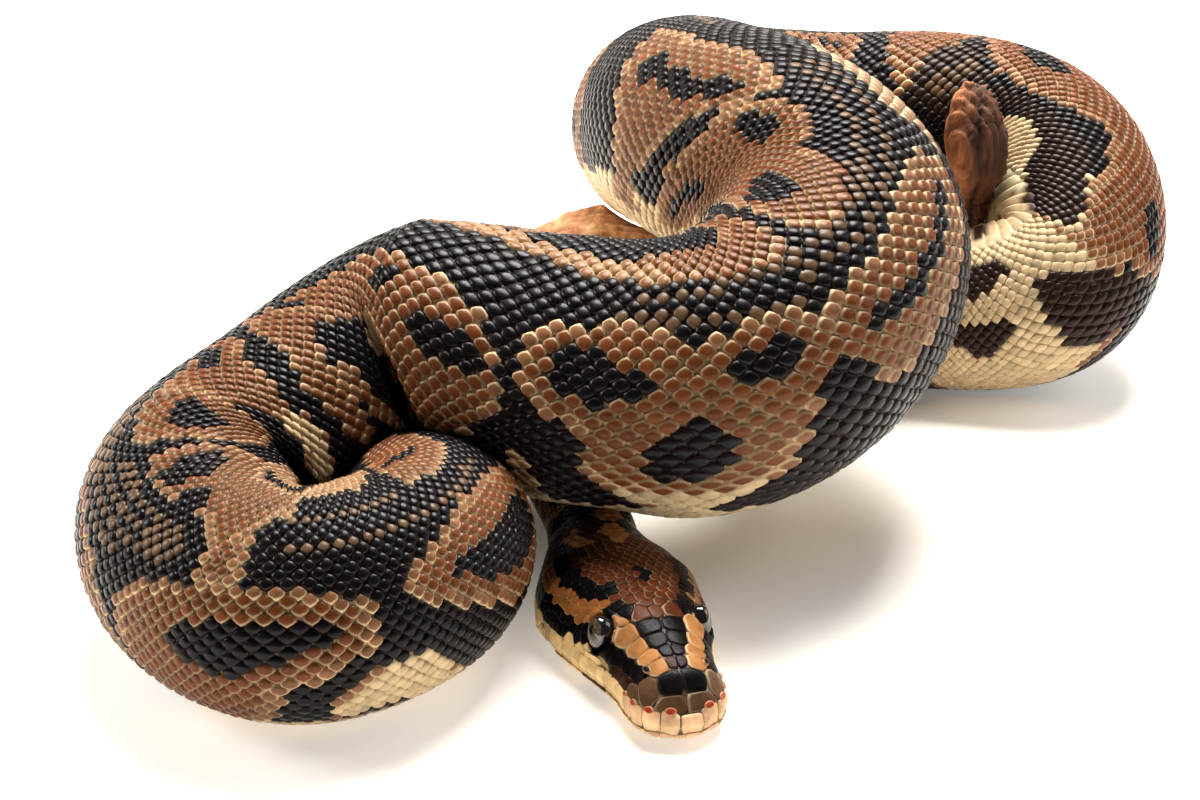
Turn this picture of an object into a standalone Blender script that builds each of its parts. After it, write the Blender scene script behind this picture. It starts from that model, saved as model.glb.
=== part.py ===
"""Ball python at rest, coiled round a piece of driftwood, life size.

The body is one long tube swept along a curved path. Where two coils press on
each other, and on the inner side of a tight bend, the tube is flattened, so
that no coil passes through another. It is parted with thin cuts into head,
lower jaw, neck, trunk lengths and tail. The wood is a log with one prong.

Lengths in the tables are millimetres. The model is built in metres, +Z up,
standing on Z = 0, with the middle of its footprint at the origin.
"""
import math

import bpy
import bmesh
import numpy as np

MM = 0.001

# ---------------------------------------------------------------- sizes, mm
GAP = 0.3                # clear space between neighbouring bodies
BEND_LIMIT = 0.90        # how near the inner side may come to a bend's centre
CONTACT_SOFT = 0.04      # roundness of the edge of a pressed patch
NEAR = 60.0              # body lengths nearer than this count as one bend
RING_SIDES = 28
RING_STEP = 8.0          # spacing of rings along the trunk
HEAD_RING_STEP = 3.2
CENTRE_X = 17.2          # middle of the footprint in the tables' coordinates
CENTRE_Y = -24.4

EYE_RADIUS = 3.1
EYE_FROM_SNOUT = 22.5
EYE_ASIDE = 9.8
EYE_HEIGHT = 11.4
JAW_LENGTH = 37.0
MOUTH_HEIGHT = 3.6
MOUTH_RISE = 0.015       # rise of the mouth line per mm toward the neck

# x, y, z and the turn of the back about the path, in degrees
PATH = [
    (15.6, -145.0, 3.6, 0),
    (9.2, -123.5, 3.8, 3),
    (3.4, -106.0, 4.2, 3),
    (0.0, -92.6, 6.4, 2),
    (-2.5, -75.0, 8.3, 0),
    (-8.0, -46.0, 9.0, 0),
    (0.0, -18.0, 11.0, 15),
    (24.0, 2.0, 13.0, 60),
    (54.0, 10.0, 16.0, 120),
    (82.0, 10.0, 18.5, 165),
    (104.0, 10.0, 24.0, 150),
    (112.0, 27.0, 36.0, 100),
    (104.0, 47.0, 46.0, 55),
    (84.0, 57.0, 48.0, 20),
    (60.0, 69.0, 43.0, 5),
    (37.0, 77.0, 41.0, 0),
    (21.0, 65.0, 45.0, 0),
    (20.0, 42.0, 53.0, 0),
    (27.0, 12.0, 60.0, -8),
    (42.0, -13.0, 60.0, -20),
    (49.0, -31.0, 55.0, -27),
    (40.0, -62.0, 46.0, -30),
    (21.0, -75.0, 41.0, -28),
    (0.0, -75.0, 42.0, -26),
    (-19.0, -69.0, 43.0, -18),
    (-39.0, -63.0, 37.0, -5),
    (-59.0, -75.0, 29.0, 10),
    (-76.0, -97.0, 23.0, 28),
    (-71.0, -119.0, 21.0, 35),
    (-54.0, -131.0, 20.5, 32),
    (-38.0, -122.0, 20.5, 28),
    (-32.0, -104.0, 19.5, 20),
    (-35.0, -88.0, 17.0, 12),
    (-29.0, -70.0, 12.0, 4),
    (-28.0, -52.0, 9.0, 0),
    (-37.0, -39.0, 7.5, 0),
    (-52.0, -33.0, 6.0, 0),
    (-66.0, -34.0, 4.5, 0),
    (-77.0, -40.0, 3.0, 0),
]

# distance from the snout, half width, rise above and drop below the path,
# and the roundness of the upper and lower half (1 is an ellipse, less boxier)
GIRTH = [
    (0.0, 4.4, 3.2, 2.2, 0.85, 0.85),
    (1.5, 7.2, 5.8, 3.0, 0.82, 0.80),
    (4.5, 9.0, 8.2, 3.4, 0.84, 0.75),
    (8.0, 9.6, 9.4, 3.6, 0.88, 0.70),
    (13.0, 9.9, 10.3, 3.7, 0.92, 0.70),
    (17.0, 10.8, 11.4, 3.8, 0.95, 0.70),
    (23.0, 12.8, 12.9, 3.8, 0.95, 0.70),
    (32.0, 15.4, 14.0, 3.9, 0.92, 0.70),
    (41.0, 16.5, 14.4, 4.2, 0.92, 0.75),
    (48.0, 14.8, 13.0, 5.0, 0.94, 0.85),
    (55.0, 11.8, 10.6, 6.3, 0.97, 0.95),
    (62.0, 9.3, 9.0, 7.4, 1.0, 1.0),
    (72.0, 8.8, 8.2, 8.2, 1.0, 1.0),
    (85.0, 9.2, 8.5, 8.7, 1.0, 1.0),
    (105.0, 10.2, 9.6, 9.6, 1.0, 1.0),
    (135.0, 12.0, 11.5, 11.5, 1.0, 1.0),
    (167.0, 14.2, 13.8, 13.8, 1.0, 1.0),
    (200.0, 17.0, 16.6, 16.6, 1.0, 1.0),
    (226.0, 19.2, 19.0, 19.0, 1.0, 1.0),
    (250.0, 21.0, 21.0, 21.0, 1.0, 1.0),
    (273.0, 21.5, 21.5, 21.5, 1.0, 1.0),
    (297.0, 22.0, 22.0, 22.0, 1.0, 1.0),
    (320.0, 23.0, 23.0, 23.0, 1.0, 1.0),
    (347.0, 24.5, 24.5, 24.5, 1.0, 1.0),
    (372.0, 25.5, 25.5, 25.5, 1.0, 1.0),
    (417.0, 26.0, 26.0, 26.0, 1.0, 1.0),
    (450.0, 26.5, 26.5, 26.5, 1.0, 1.0),
    (500.0, 28.0, 28.0, 28.0, 1.0, 1.0),
    (535.0, 28.5, 28.5, 28.5, 1.0, 1.0),
    (560.0, 28.5, 27.0, 28.5, 1.0, 1.0),
    (576.0, 28.5, 22.6, 28.5, 1.0, 1.0),
    (590.0, 28.0, 21.0, 28.0, 1.0, 1.0),
    (600.0, 27.5, 24.6, 27.5, 1.0, 1.0),
    (608.0, 27.0, 28.0, 27.0, 1.0, 1.0),
    (622.0, 26.0, 26.0, 26.0, 1.0, 1.0),
    (648.0, 24.0, 24.0, 24.0, 1.0, 1.0),
    (677.0, 23.0, 23.0, 23.0, 1.0, 1.0),
    (700.0, 22.0, 22.0, 22.0, 1.0, 1.0),
    (722.0, 21.5, 21.5, 21.5, 1.0, 1.0),
    (740.0, 21.0, 21.0, 21.0, 1.0, 1.0),
    (760.0, 19.5, 19.5, 19.5, 1.0, 1.0),
    (776.0, 17.0, 17.0, 17.0, 1.0, 1.0),
    (796.0, 13.0, 12.8, 12.8, 1.0, 1.0),
    (815.0, 10.0, 9.8, 9.8, 1.0, 1.0),
    (831.0, 8.0, 7.8, 7.8, 1.0, 1.0),
    (847.0, 6.3, 6.1, 6.1, 1.0, 1.0),
    (858.0, 4.9, 4.8, 4.8, 1.0, 1.0),
    (866.0, 3.4, 3.4, 3.4, 1.0, 1.0),
    (870.0, 1.6, 1.6, 1.6, 1.0, 1.0),
]

# where the thin cuts part the body, measured from the snout
CUTS = {
    "neck": (58.0, 150.0),
    "trunk_1": (150.0, 262.0),
    "trunk_2": (262.0, 352.0),
    "trunk_3": (352.0, 455.0),
    "trunk_4": (455.0, 545.0),
    "trunk_5": (545.0, 632.0),
    "trunk_6": (632.0, 745.0),
    "tail": (745.0, 868.4),
}

# driftwood: x, y, z, half width, half height
LOG = [
    (-19.0, 45.0, 9.0, 4.0, 7.0),
    (-16.0, 44.5, 11.6, 8.0, 11.8),
    (-10.0, 43.0, 13.3, 11.5, 13.6),
    (-2.0, 41.0, 16.2, 13.5, 17.2),
    (9.0, 39.0, 14.0, 12.5, 15.0),
    (24.0, 37.5, 10.9, 11.5, 11.5),
    (42.0, 38.5, 9.8, 10.0, 11.0),
    (60.0, 40.0, 9.4, 9.5, 10.5),
    (76.0, 41.0, 8.6, 9.0, 9.5),
    (88.0, 42.0, 7.0, 6.0, 7.0),
    (92.0, 42.5, 6.5, 3.0, 4.0),
]
PRONG = [
    (80.0, 43.0, 6.0, 6.0, 6.0),
    (82.0, 40.0, 14.0, 6.5, 5.5),
    (86.0, 35.0, 26.0, 7.0, 3.8),
    (89.0, 30.5, 34.0, 6.6, 3.4),
    (88.6, 24.5, 43.0, 6.8, 4.8),
    (87.2, 21.0, 51.0, 7.4, 6.4),
    (86.2, 21.5, 58.0, 7.6, 6.4),
    (86.0, 24.0, 64.5, 5.8, 4.6),
    (86.4, 26.0, 69.0, 2.6, 1.8),
]
WOOD_CLEAR = 0.5         # space left between the wood and the coils
WOOD_GRIP = [(190.0, 360.0), (375.0, 470.0)]
LOG_SIDES = 16
LOG_KNOBS = 0.07         # depth of the lumps as a share of the radius

COLOURS = {
    "head": (0.10, 0.045, 0.02, 1.0),
    "lower_jaw": (0.72, 0.60, 0.42, 1.0),
    "neck": (0.12, 0.06, 0.03, 1.0),
    "trunk": (0.16, 0.08, 0.04, 1.0),
    "tail": (0.14, 0.07, 0.035, 1.0),
    "eye": (0.03, 0.025, 0.02, 1.0),
    "driftwood": (0.42, 0.20, 0.09, 1.0),
}


# ------------------------------------------------------------------- curves
def spline(knots, values, query):
    """Natural cubic spline through the values at the knots."""
    count = len(knots)
    step = np.diff(knots)
    matrix = np.zeros((count, count))
    right = np.zeros(values.shape)
    matrix[0, 0] = matrix[-1, -1] = 1.0
    for i in range(1, count - 1):
        matrix[i, i - 1] = step[i - 1]
        matrix[i, i] = 2.0 * (step[i - 1] + step[i])
        matrix[i, i + 1] = step[i]
        right[i] = 6.0 * ((values[i + 1] - values[i]) / step[i]
                          - (values[i] - values[i - 1]) / step[i - 1])
    bend = np.linalg.solve(matrix, right)
    cell = np.clip(np.searchsorted(knots, query) - 1, 0, count - 2)
    ahead = (query - knots[cell])[:, None]
    width = step[cell][:, None]
    slope = (values[cell + 1] - values[cell]) / width
    slope = slope - width * (2.0 * bend[cell] + bend[cell + 1]) / 6.0
    cubic = (bend[cell + 1] - bend[cell]) / (6.0 * width)
    return values[cell] + slope * ahead + bend[cell] / 2.0 * ahead ** 2 + cubic * ahead ** 3


def path_table(points):
    """The smooth path as a dense table: distance run and its columns."""
    values = np.array(points, float)
    chord = np.linalg.norm(np.diff(values[:, :3], axis=0), axis=1)
    knots = np.concatenate([[0.0], np.cumsum(chord)])
    dense = spline(knots, values, np.linspace(0.0, knots[-1], 4000))
    run = np.linalg.norm(np.diff(dense[:, :3], axis=0), axis=1)
    return np.concatenate([[0.0], np.cumsum(run)]), dense


RUN, DENSE = path_table(PATH)


def on_path(where):
    """Columns of the path table at distances from the snout."""
    return np.stack([np.interp(where, RUN, DENSE[:, c]) for c in range(4)], 1)


def girth(where):
    """Half width, rise, drop and both roundnesses at distances from the snout."""
    table = np.array(GIRTH)
    return np.stack([np.interp(where, table[:, 0], table[:, c]) for c in range(1, 6)], 1)


def frames(where):
    """Centre, direction, back direction and right-hand direction."""
    centre = on_path(where)
    ahead = on_path(np.clip(where + 1.0, 0.0, RUN[-1]))[:, :3]
    behind = on_path(np.clip(where - 1.0, 0.0, RUN[-1]))[:, :3]
    along = ahead - behind
    along /= np.linalg.norm(along, axis=1)[:, None]
    up = np.array([0.0, 0.0, 1.0]) - along[:, 2:3] * along
    up /= np.linalg.norm(up, axis=1)[:, None]
    right = np.cross(along, up)
    turn = np.radians(centre[:, 3])[:, None]
    back = up * np.cos(turn) + right * np.sin(turn)
    side = right * np.cos(turn) - up * np.sin(turn)
    return centre[:, :3], along, back, side


def shaped(value, power):
    """Signed power, for boxy rings."""
    return np.sign(value) * np.abs(value) ** power


def body_rings(where, angles, shrink=0.0):
    """Points of the body's surface: one row of points for each distance."""
    centre, along, back, side = frames(where)
    size = girth(where)
    half = (size[:, 0] - shrink)[:, None]
    rise = (size[:, 1] - shrink)[:, None]
    drop = (size[:, 2] - shrink)[:, None]
    power = np.where(np.cos(angles)[None, :] > 0.0, size[:, 3:4], size[:, 4:5])
    across = half * shaped(np.sin(angles)[None, :], power)
    height = shaped(np.cos(angles)[None, :], power)
    height = np.where(height > 0.0, height * rise, height * drop)
    arm = across[..., None] * side[:, None, :] + height[..., None] * back[:, None, :]
    reach = pressed(where, centre, arm, size[:, 0])
    point = centre[:, None, :] + reach[..., None] * arm
    return on_floor(point, centre)


def pressed(where, centre, arm, radius):
    """Share of each arm left where coils press on each other or bend."""
    other_run = np.linspace(0.0, RUN[-1], int(RUN[-1] / 3.0))
    other = on_path(other_run)[:, :3]
    other_radius = girth(other_run)[:, 0]
    reach = np.full(arm.shape[:2], 3.0)
    for place, spot, spot_radius in zip(other_run, other, other_radius):
        offset = spot - centre
        distance = np.linalg.norm(offset, axis=1)
        close = (distance > 0.5) & (distance < radius + spot_radius + 8.0)
        if not close.any():
            continue
        bend = np.abs(where - place) < NEAR
        toward = (arm * offset[:, None, :]).sum(2)
        room = distance ** 2 - spot_radius ** 2 + radius ** 2 - GAP * distance * 2.0
        room = np.where(bend, BEND_LIMIT * distance ** 2, room)
        facing = (toward > 1e-6) & close[:, None]
        limit = np.where(facing, room[:, None] / np.maximum(2.0 * toward, 1e-6), 3.0)
        reach = np.minimum(reach, limit)
    reach = np.maximum(reach, 0.05)
    eased = -CONTACT_SOFT * np.log(np.exp(-1.0 / CONTACT_SOFT) + np.exp(-reach / CONTACT_SOFT))
    return np.clip(eased, 0.05, 1.0)


def on_floor(point, centre):
    """Shorten the arms that reach below the floor, so the rings stay flat."""
    height = point[..., 2]
    start = np.broadcast_to(centre[:, None, 2], height.shape)
    share = np.where(height < 0.0, start / np.maximum(start - height, 1e-6), 1.0)
    flat = centre[:, None, :] + (point - centre[:, None, :]) * share[..., None]
    flat[..., 2] = np.maximum(flat[..., 2], 0.0)
    return flat


# ------------------------------------------------------------------- meshes
def to_metres(points):
    """Table millimetres to metres about the middle of the footprint."""
    shift = np.array([CENTRE_X, CENTRE_Y, 0.0])
    return (np.asarray(points, float) - shift) * MM


def loft(name, rings):
    """A closed body through rings of points, with flat ends."""
    count = len(rings)
    sides = len(rings[0])
    mesh = bmesh.new()
    grid = [[mesh.verts.new(tuple(p)) for p in to_metres(ring)] for ring in rings]
    for i in range(count - 1):
        for j in range(sides):
            k = (j + 1) % sides
            mesh.faces.new((grid[i][j], grid[i][k], grid[i + 1][k], grid[i + 1][j]))
    for ring in (grid[0][::-1], grid[-1]):
        middle = mesh.verts.new(sum((v.co for v in ring), ring[0].co * 0.0) / sides)
        for j in range(sides):
            mesh.faces.new((ring[j], ring[(j + 1) % sides], middle))
    bmesh.ops.triangulate(mesh, faces=[f for f in mesh.faces if len(f.verts) > 3])
    bmesh.ops.recalc_face_normals(mesh, faces=mesh.faces)
    data = bpy.data.meshes.new(name)
    mesh.to_mesh(data)
    mesh.free()
    made = bpy.data.objects.new(name, data)
    bpy.context.collection.objects.link(made)
    return made


def finish(made, colour, finish_roughness):
    """Smooth shading and the object's own material."""
    for face in made.data.polygons:
        face.use_smooth = True
    material = bpy.data.materials.new(made.name)
    material.use_nodes = True
    surface = material.node_tree.nodes["Principled BSDF"]
    surface.inputs["Base Color"].default_value = colour
    surface.inputs["Roughness"].default_value = finish_roughness
    made.data.materials.clear()
    made.data.materials.append(material)
    return made


def apply_boolean(made, cutter, operation):
    """Exact boolean with a cutter, which is then removed."""
    cutter.display_type = "WIRE"
    cutter.hide_render = True
    step = made.modifiers.new("cut", "BOOLEAN")
    step.operation = operation
    step.solver = "EXACT"
    step.object = cutter
    bpy.context.view_layer.objects.active = made
    bpy.ops.object.select_all(action="DESELECT")
    made.select_set(True)
    bpy.ops.object.modifier_apply(modifier=step.name)
    bpy.data.objects.remove(cutter, do_unlink=True)
    return made


def tidy(made, merge=0.00002):
    """Merge doubles and keep plain triangles."""
    mesh = bmesh.new()
    mesh.from_mesh(made.data)
    bmesh.ops.remove_doubles(mesh, verts=mesh.verts, dist=merge)
    bmesh.ops.dissolve_degenerate(mesh, edges=mesh.edges, dist=merge)
    bmesh.ops.triangulate(mesh, faces=mesh.faces)
    bmesh.ops.recalc_face_normals(mesh, faces=mesh.faces)
    mesh.to_mesh(made.data)
    mesh.free()
    return made


def ring_angles():
    """Angles round the body, 0 at the back, growing to its right side."""
    return np.linspace(0.0, 2.0 * math.pi, RING_SIDES, endpoint=False)


# --------------------------------------------------------------------- head
def head_axis():
    """Snout position, direction toward the neck and the sideways direction."""
    centre, along, back, side = frames(np.array([EYE_FROM_SNOUT]))
    return centre[0], along[0], side[0]


def whole_head(name):
    """The head with both jaws, from the snout to the neck cut."""
    stops = np.concatenate([
        [0.0, 0.6, 1.5, 2.9],
        np.arange(4.5, 56.5, HEAD_RING_STEP),
        [CUTS["neck"][0] - GAP / 2],
    ])
    return loft(name, body_rings(stops, ring_angles()))


def jaw_block(name, lift, length):
    """Everything below the mouth line, forward of the corner of the mouth."""
    snout = on_path(np.array([0.0]))[0, :3]
    corner = on_path(np.array([length]))[0, :3]
    along = corner - snout
    along[2] = 0.0
    along /= np.linalg.norm(along)
    side = np.array([along[1], -along[0], 0.0])
    front = snout - along * 6.0
    points = []
    for start, run in ((front, -6.0), (corner, length)):
        top = MOUTH_HEIGHT + MOUTH_RISE * run + lift
        ring = []
        for across, height in ((-30.0, -3.0), (30.0, -3.0), (30.0, top), (-30.0, top)):
            spot = start + side * across
            spot[2] = height
            ring.append(spot)
        points.append(ring)
    return loft(name, points)


def eye(name, sign, radius):
    """One eye as a ball beside the head."""
    centre, along, side = head_axis()
    spot = centre + side * EYE_ASIDE * sign
    spot[2] = EYE_HEIGHT - sign * 0.5
    rings = []
    for lean in np.linspace(-80.0, 80.0, 9):
        level = math.radians(lean)
        turn = np.linspace(0.0, 2.0 * math.pi, 16, endpoint=False)
        ring = np.stack([np.cos(turn), np.sin(turn), np.full(16, math.tan(level))], 1)
        rings.append(spot + ring * radius * math.cos(level))
    return loft(name, rings)


def build_head():
    """Upper head, lower jaw and the two eyes, each with a thin gap."""
    head = whole_head("head")
    apply_boolean(head, jaw_block("jaw_cut", GAP / 2, JAW_LENGTH + GAP / 2), "DIFFERENCE")
    for sign in (-1, 1):
        apply_boolean(head, eye("socket", sign, EYE_RADIUS + GAP), "DIFFERENCE")
    jaw = whole_head("lower_jaw")
    apply_boolean(jaw, jaw_block("jaw_keep", -GAP / 2, JAW_LENGTH - GAP / 2), "INTERSECT")
    finish(tidy(head), COLOURS["head"], 0.45)
    finish(tidy(jaw), COLOURS["lower_jaw"], 0.45)
    finish(eye("eye_left", 1, EYE_RADIUS), COLOURS["eye"], 0.08)
    finish(eye("eye_right", -1, EYE_RADIUS), COLOURS["eye"], 0.08)


# --------------------------------------------------------------------- body
def build_body():
    """Neck, trunk lengths and tail."""
    for name, (start, end) in CUTS.items():
        count = max(4, int(round((end - start) / RING_STEP)) + 1)
        stops = np.linspace(start + GAP / 2, end - GAP / 2, count)
        if name == "tail":
            stops = np.concatenate([stops[:-1], [863.5, 866.5, end]])
        part = loft(name, body_rings(stops, ring_angles()))
        finish(part, COLOURS.get(name, COLOURS["trunk"]), 0.42)


# --------------------------------------------------------------------- wood
def wood_rings(table, step, seed, vertical):
    """Rings of a lumpy piece of wood along its table."""
    values = np.array(table, float)
    chord = np.linalg.norm(np.diff(values[:, :3], axis=0), axis=1)
    knots = np.concatenate([[0.0], np.cumsum(chord)])
    places = np.linspace(0.0, knots[-1], int(knots[-1] / step) + 1)
    stops = np.stack([np.interp(places, knots, values[:, c]) for c in range(5)], 1)
    smooth = spline(knots, values[:, :3], places)
    along = np.gradient(smooth, axis=0)
    along /= np.linalg.norm(along, axis=1)[:, None]
    wide = np.cross(along, [0.0, 1.0, 0.0]) if vertical else np.cross(along, [0.0, 0.0, 1.0])
    wide /= np.linalg.norm(wide, axis=1)[:, None]
    if vertical and wide[0, 0] < 0.0:
        wide = -wide
    thick = np.cross(along, wide)
    turn = np.linspace(0.0, 2.0 * math.pi, LOG_SIDES, endpoint=False)
    rings = []
    for i, place in enumerate(places):
        lump = 1.0 + LOG_KNOBS * np.sin(3.0 * turn + place * 0.11 + seed)
        lump = lump + 0.5 * LOG_KNOBS * np.sin(7.0 * turn - place * 0.23 + 2.0 * seed)
        across = wide[i][None, :] * (stops[i, 3] * lump * np.cos(turn))[:, None]
        high = thick[i][None, :] * (stops[i, 4] * lump * np.sin(turn))[:, None]
        ring = smooth[i] + across + high
        ring[:, 2] = np.maximum(ring[:, 2], 0.0)
        rings.append(ring)
    return rings


def build_wood():
    """The log and the prong that rises between the rear coils."""
    wood = loft("driftwood", wood_rings(LOG, 7.0, 0.6, False))
    prong = loft("prong", wood_rings(PRONG, 4.0, 1.9, True))
    apply_boolean(wood, prong, "UNION")
    for start, end in WOOD_GRIP:
        stops = np.arange(start, end, RING_STEP)
        grip = loft("grip", body_rings(stops, ring_angles(), -WOOD_CLEAR))
        apply_boolean(wood, grip, "DIFFERENCE")
    finish(tidy(wood, 0.00005), COLOURS["driftwood"], 0.8)


def main():
    """Clear the scene and build every part."""
    for old in list(bpy.data.objects):
        bpy.data.objects.remove(old, do_unlink=True)
    build_head()
    build_body()
    build_wood()


main()
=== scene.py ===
"""Ball python at rest, coiled round a piece of driftwood: skin, scales, eyes and wood.

The snake's skin is one swept tube along the body's path. Scales, belly scutes and
head plates are solid little domes set over it, and all of them take their colours
from the same named markings, which are outlines and strokes laid on the body.

The tables are in millimetres and degrees. A place on the body is a distance from
the snout and an angle round the body, 0 at the back and growing to its right side.
"""
import math

import bmesh
import bpy
import numpy as np
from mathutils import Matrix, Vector
from mathutils.bvhtree import BVHTree


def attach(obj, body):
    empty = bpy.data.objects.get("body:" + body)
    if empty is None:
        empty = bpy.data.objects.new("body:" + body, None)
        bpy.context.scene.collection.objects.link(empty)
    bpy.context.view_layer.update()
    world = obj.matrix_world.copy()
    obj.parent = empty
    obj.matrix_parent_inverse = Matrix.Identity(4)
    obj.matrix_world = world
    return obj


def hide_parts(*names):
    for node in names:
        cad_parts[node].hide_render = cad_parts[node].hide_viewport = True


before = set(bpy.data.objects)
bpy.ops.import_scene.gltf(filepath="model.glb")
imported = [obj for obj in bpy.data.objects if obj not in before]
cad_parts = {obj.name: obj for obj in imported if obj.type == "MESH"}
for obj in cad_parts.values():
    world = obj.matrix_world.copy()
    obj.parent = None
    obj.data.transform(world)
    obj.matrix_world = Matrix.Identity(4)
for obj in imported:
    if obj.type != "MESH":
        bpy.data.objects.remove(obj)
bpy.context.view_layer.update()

bl_info = {
    "name": "Coiled Ball Python",
    "version": (1, 0, 0),
    "blender": (4, 5, 0),
    "location": "View3D > Sidebar > Ball Python",
    "description": "Scales, skin, eyes and driftwood of a resting ball python",
    "category": "Object",
}

MM = 0.001
PER_METRE = 1000.0
FLESH = [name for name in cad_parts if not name.startswith(("eye", "driftwood"))]

# ------------------------------------------------------------ body's path, mm
GAP = 0.3                # air between two coils that press on each other
BEND_LIMIT = 0.90        # share of the inner bend that the body may fill
CONTACT_SOFT = 0.04      # how softly a pressed side passes into a free one
NEAR = 60.0              # lengths closer than this are one bend, not two coils
CENTRE_X = 17.2          # middle of the footprint, which is the frame's origin
CENTRE_Y = -24.4
EYE_RADIUS = 3.1
EYE_FROM_SNOUT = 22.5
EYE_ASIDE = 9.8
EYE_HEIGHT = 11.4
HEAD_TILT = 0.5          # how much lower the right eye lies than the middle
JAW_LENGTH = 37.0
MOUTH_HEIGHT = 3.6
MOUTH_RISE = 0.015       # rise of the mouth line per mm toward the neck
HEAD_END = 62.0          # length that has the head's finer rows and thinner coat
UP = np.array([0.0, 0.0, 1.0])

# x, y, z and the turn of the back about the path, in degrees
PATH = [
    (15.6, -145.0, 3.6, 0),
    (9.2, -123.5, 3.8, 3),
    (3.4, -106.0, 4.2, 3),
    (0.0, -92.6, 6.4, 2),
    (-2.5, -75.0, 8.3, 0),
    (-8.0, -46.0, 9.0, 0),
    (0.0, -18.0, 11.0, 15),
    (24.0, 2.0, 13.0, 60),
    (54.0, 10.0, 16.0, 120),
    (82.0, 10.0, 18.5, 165),
    (104.0, 10.0, 24.0, 150),
    (112.0, 27.0, 36.0, 100),
    (104.0, 47.0, 46.0, 55),
    (84.0, 57.0, 48.0, 20),
    (60.0, 69.0, 43.0, 5),
    (37.0, 77.0, 41.0, 0),
    (21.0, 65.0, 45.0, 0),
    (20.0, 42.0, 53.0, 0),
    (27.0, 12.0, 60.0, -8),
    (42.0, -13.0, 60.0, -20),
    (49.0, -31.0, 55.0, -27),
    (40.0, -62.0, 46.0, -30),
    (21.0, -75.0, 41.0, -28),
    (0.0, -75.0, 42.0, -26),
    (-19.0, -69.0, 43.0, -18),
    (-39.0, -63.0, 37.0, -5),
    (-59.0, -75.0, 29.0, 10),
    (-76.0, -97.0, 23.0, 28),
    (-71.0, -119.0, 21.0, 35),
    (-54.0, -131.0, 20.5, 32),
    (-38.0, -122.0, 20.5, 28),
    (-32.0, -104.0, 19.5, 20),
    (-35.0, -88.0, 17.0, 12),
    (-29.0, -70.0, 12.0, 4),
    (-28.0, -52.0, 9.0, 0),
    (-37.0, -39.0, 7.5, 0),
    (-52.0, -33.0, 6.0, 0),
    (-66.0, -34.0, 4.5, 0),
    (-77.0, -40.0, 3.0, 0),
]

# distance from the snout, half width, rise above and drop below the path,
# and the roundness of the upper and lower half (1 is an ellipse, less boxier)
GIRTH = [
    (0.0, 4.4, 3.2, 2.2, 0.85, 0.85),
    (1.5, 7.2, 5.8, 3.0, 0.82, 0.80),
    (4.5, 9.0, 8.2, 3.4, 0.84, 0.75),
    (8.0, 9.6, 9.4, 3.6, 0.88, 0.70),
    (13.0, 9.9, 10.3, 3.7, 0.92, 0.70),
    (17.0, 10.8, 11.4, 3.8, 0.95, 0.70),
    (23.0, 12.8, 12.9, 3.8, 0.95, 0.70),
    (32.0, 15.4, 14.0, 3.9, 0.92, 0.70),
    (41.0, 16.5, 14.4, 4.2, 0.92, 0.75),
    (48.0, 14.8, 13.0, 5.0, 0.94, 0.85),
    (55.0, 11.8, 10.6, 6.3, 0.97, 0.95),
    (62.0, 9.3, 9.0, 7.4, 1.0, 1.0),
    (72.0, 8.8, 8.2, 8.2, 1.0, 1.0),
    (85.0, 9.2, 8.5, 8.7, 1.0, 1.0),
    (105.0, 10.2, 9.6, 9.6, 1.0, 1.0),
    (135.0, 12.0, 11.5, 11.5, 1.0, 1.0),
    (167.0, 14.2, 13.8, 13.8, 1.0, 1.0),
    (200.0, 17.0, 16.6, 16.6, 1.0, 1.0),
    (226.0, 19.2, 19.0, 19.0, 1.0, 1.0),
    (250.0, 21.0, 21.0, 21.0, 1.0, 1.0),
    (273.0, 21.5, 21.5, 21.5, 1.0, 1.0),
    (297.0, 22.0, 22.0, 22.0, 1.0, 1.0),
    (320.0, 23.0, 23.0, 23.0, 1.0, 1.0),
    (347.0, 24.5, 24.5, 24.5, 1.0, 1.0),
    (372.0, 25.5, 25.5, 25.5, 1.0, 1.0),
    (417.0, 26.0, 26.0, 26.0, 1.0, 1.0),
    (450.0, 26.5, 26.5, 26.5, 1.0, 1.0),
    (500.0, 28.0, 28.0, 28.0, 1.0, 1.0),
    (535.0, 28.5, 28.5, 28.5, 1.0, 1.0),
    (560.0, 28.5, 27.0, 28.5, 1.0, 1.0),
    (576.0, 28.5, 22.6, 28.5, 1.0, 1.0),
    (590.0, 28.0, 21.0, 28.0, 1.0, 1.0),
    (600.0, 27.5, 24.6, 27.5, 1.0, 1.0),
    (608.0, 27.0, 28.0, 27.0, 1.0, 1.0),
    (622.0, 26.0, 26.0, 26.0, 1.0, 1.0),
    (648.0, 24.0, 24.0, 24.0, 1.0, 1.0),
    (677.0, 23.0, 23.0, 23.0, 1.0, 1.0),
    (700.0, 22.0, 22.0, 22.0, 1.0, 1.0),
    (722.0, 21.5, 21.5, 21.5, 1.0, 1.0),
    (740.0, 21.0, 21.0, 21.0, 1.0, 1.0),
    (760.0, 19.5, 19.5, 19.5, 1.0, 1.0),
    (776.0, 17.0, 17.0, 17.0, 1.0, 1.0),
    (796.0, 13.0, 12.8, 12.8, 1.0, 1.0),
    (815.0, 10.0, 9.8, 9.8, 1.0, 1.0),
    (831.0, 8.0, 7.8, 7.8, 1.0, 1.0),
    (847.0, 6.3, 6.1, 6.1, 1.0, 1.0),
    (858.0, 4.9, 4.8, 4.8, 1.0, 1.0),
    (866.0, 3.4, 3.4, 3.4, 1.0, 1.0),
    (870.0, 1.6, 1.6, 1.6, 1.0, 1.0),
]

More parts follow.
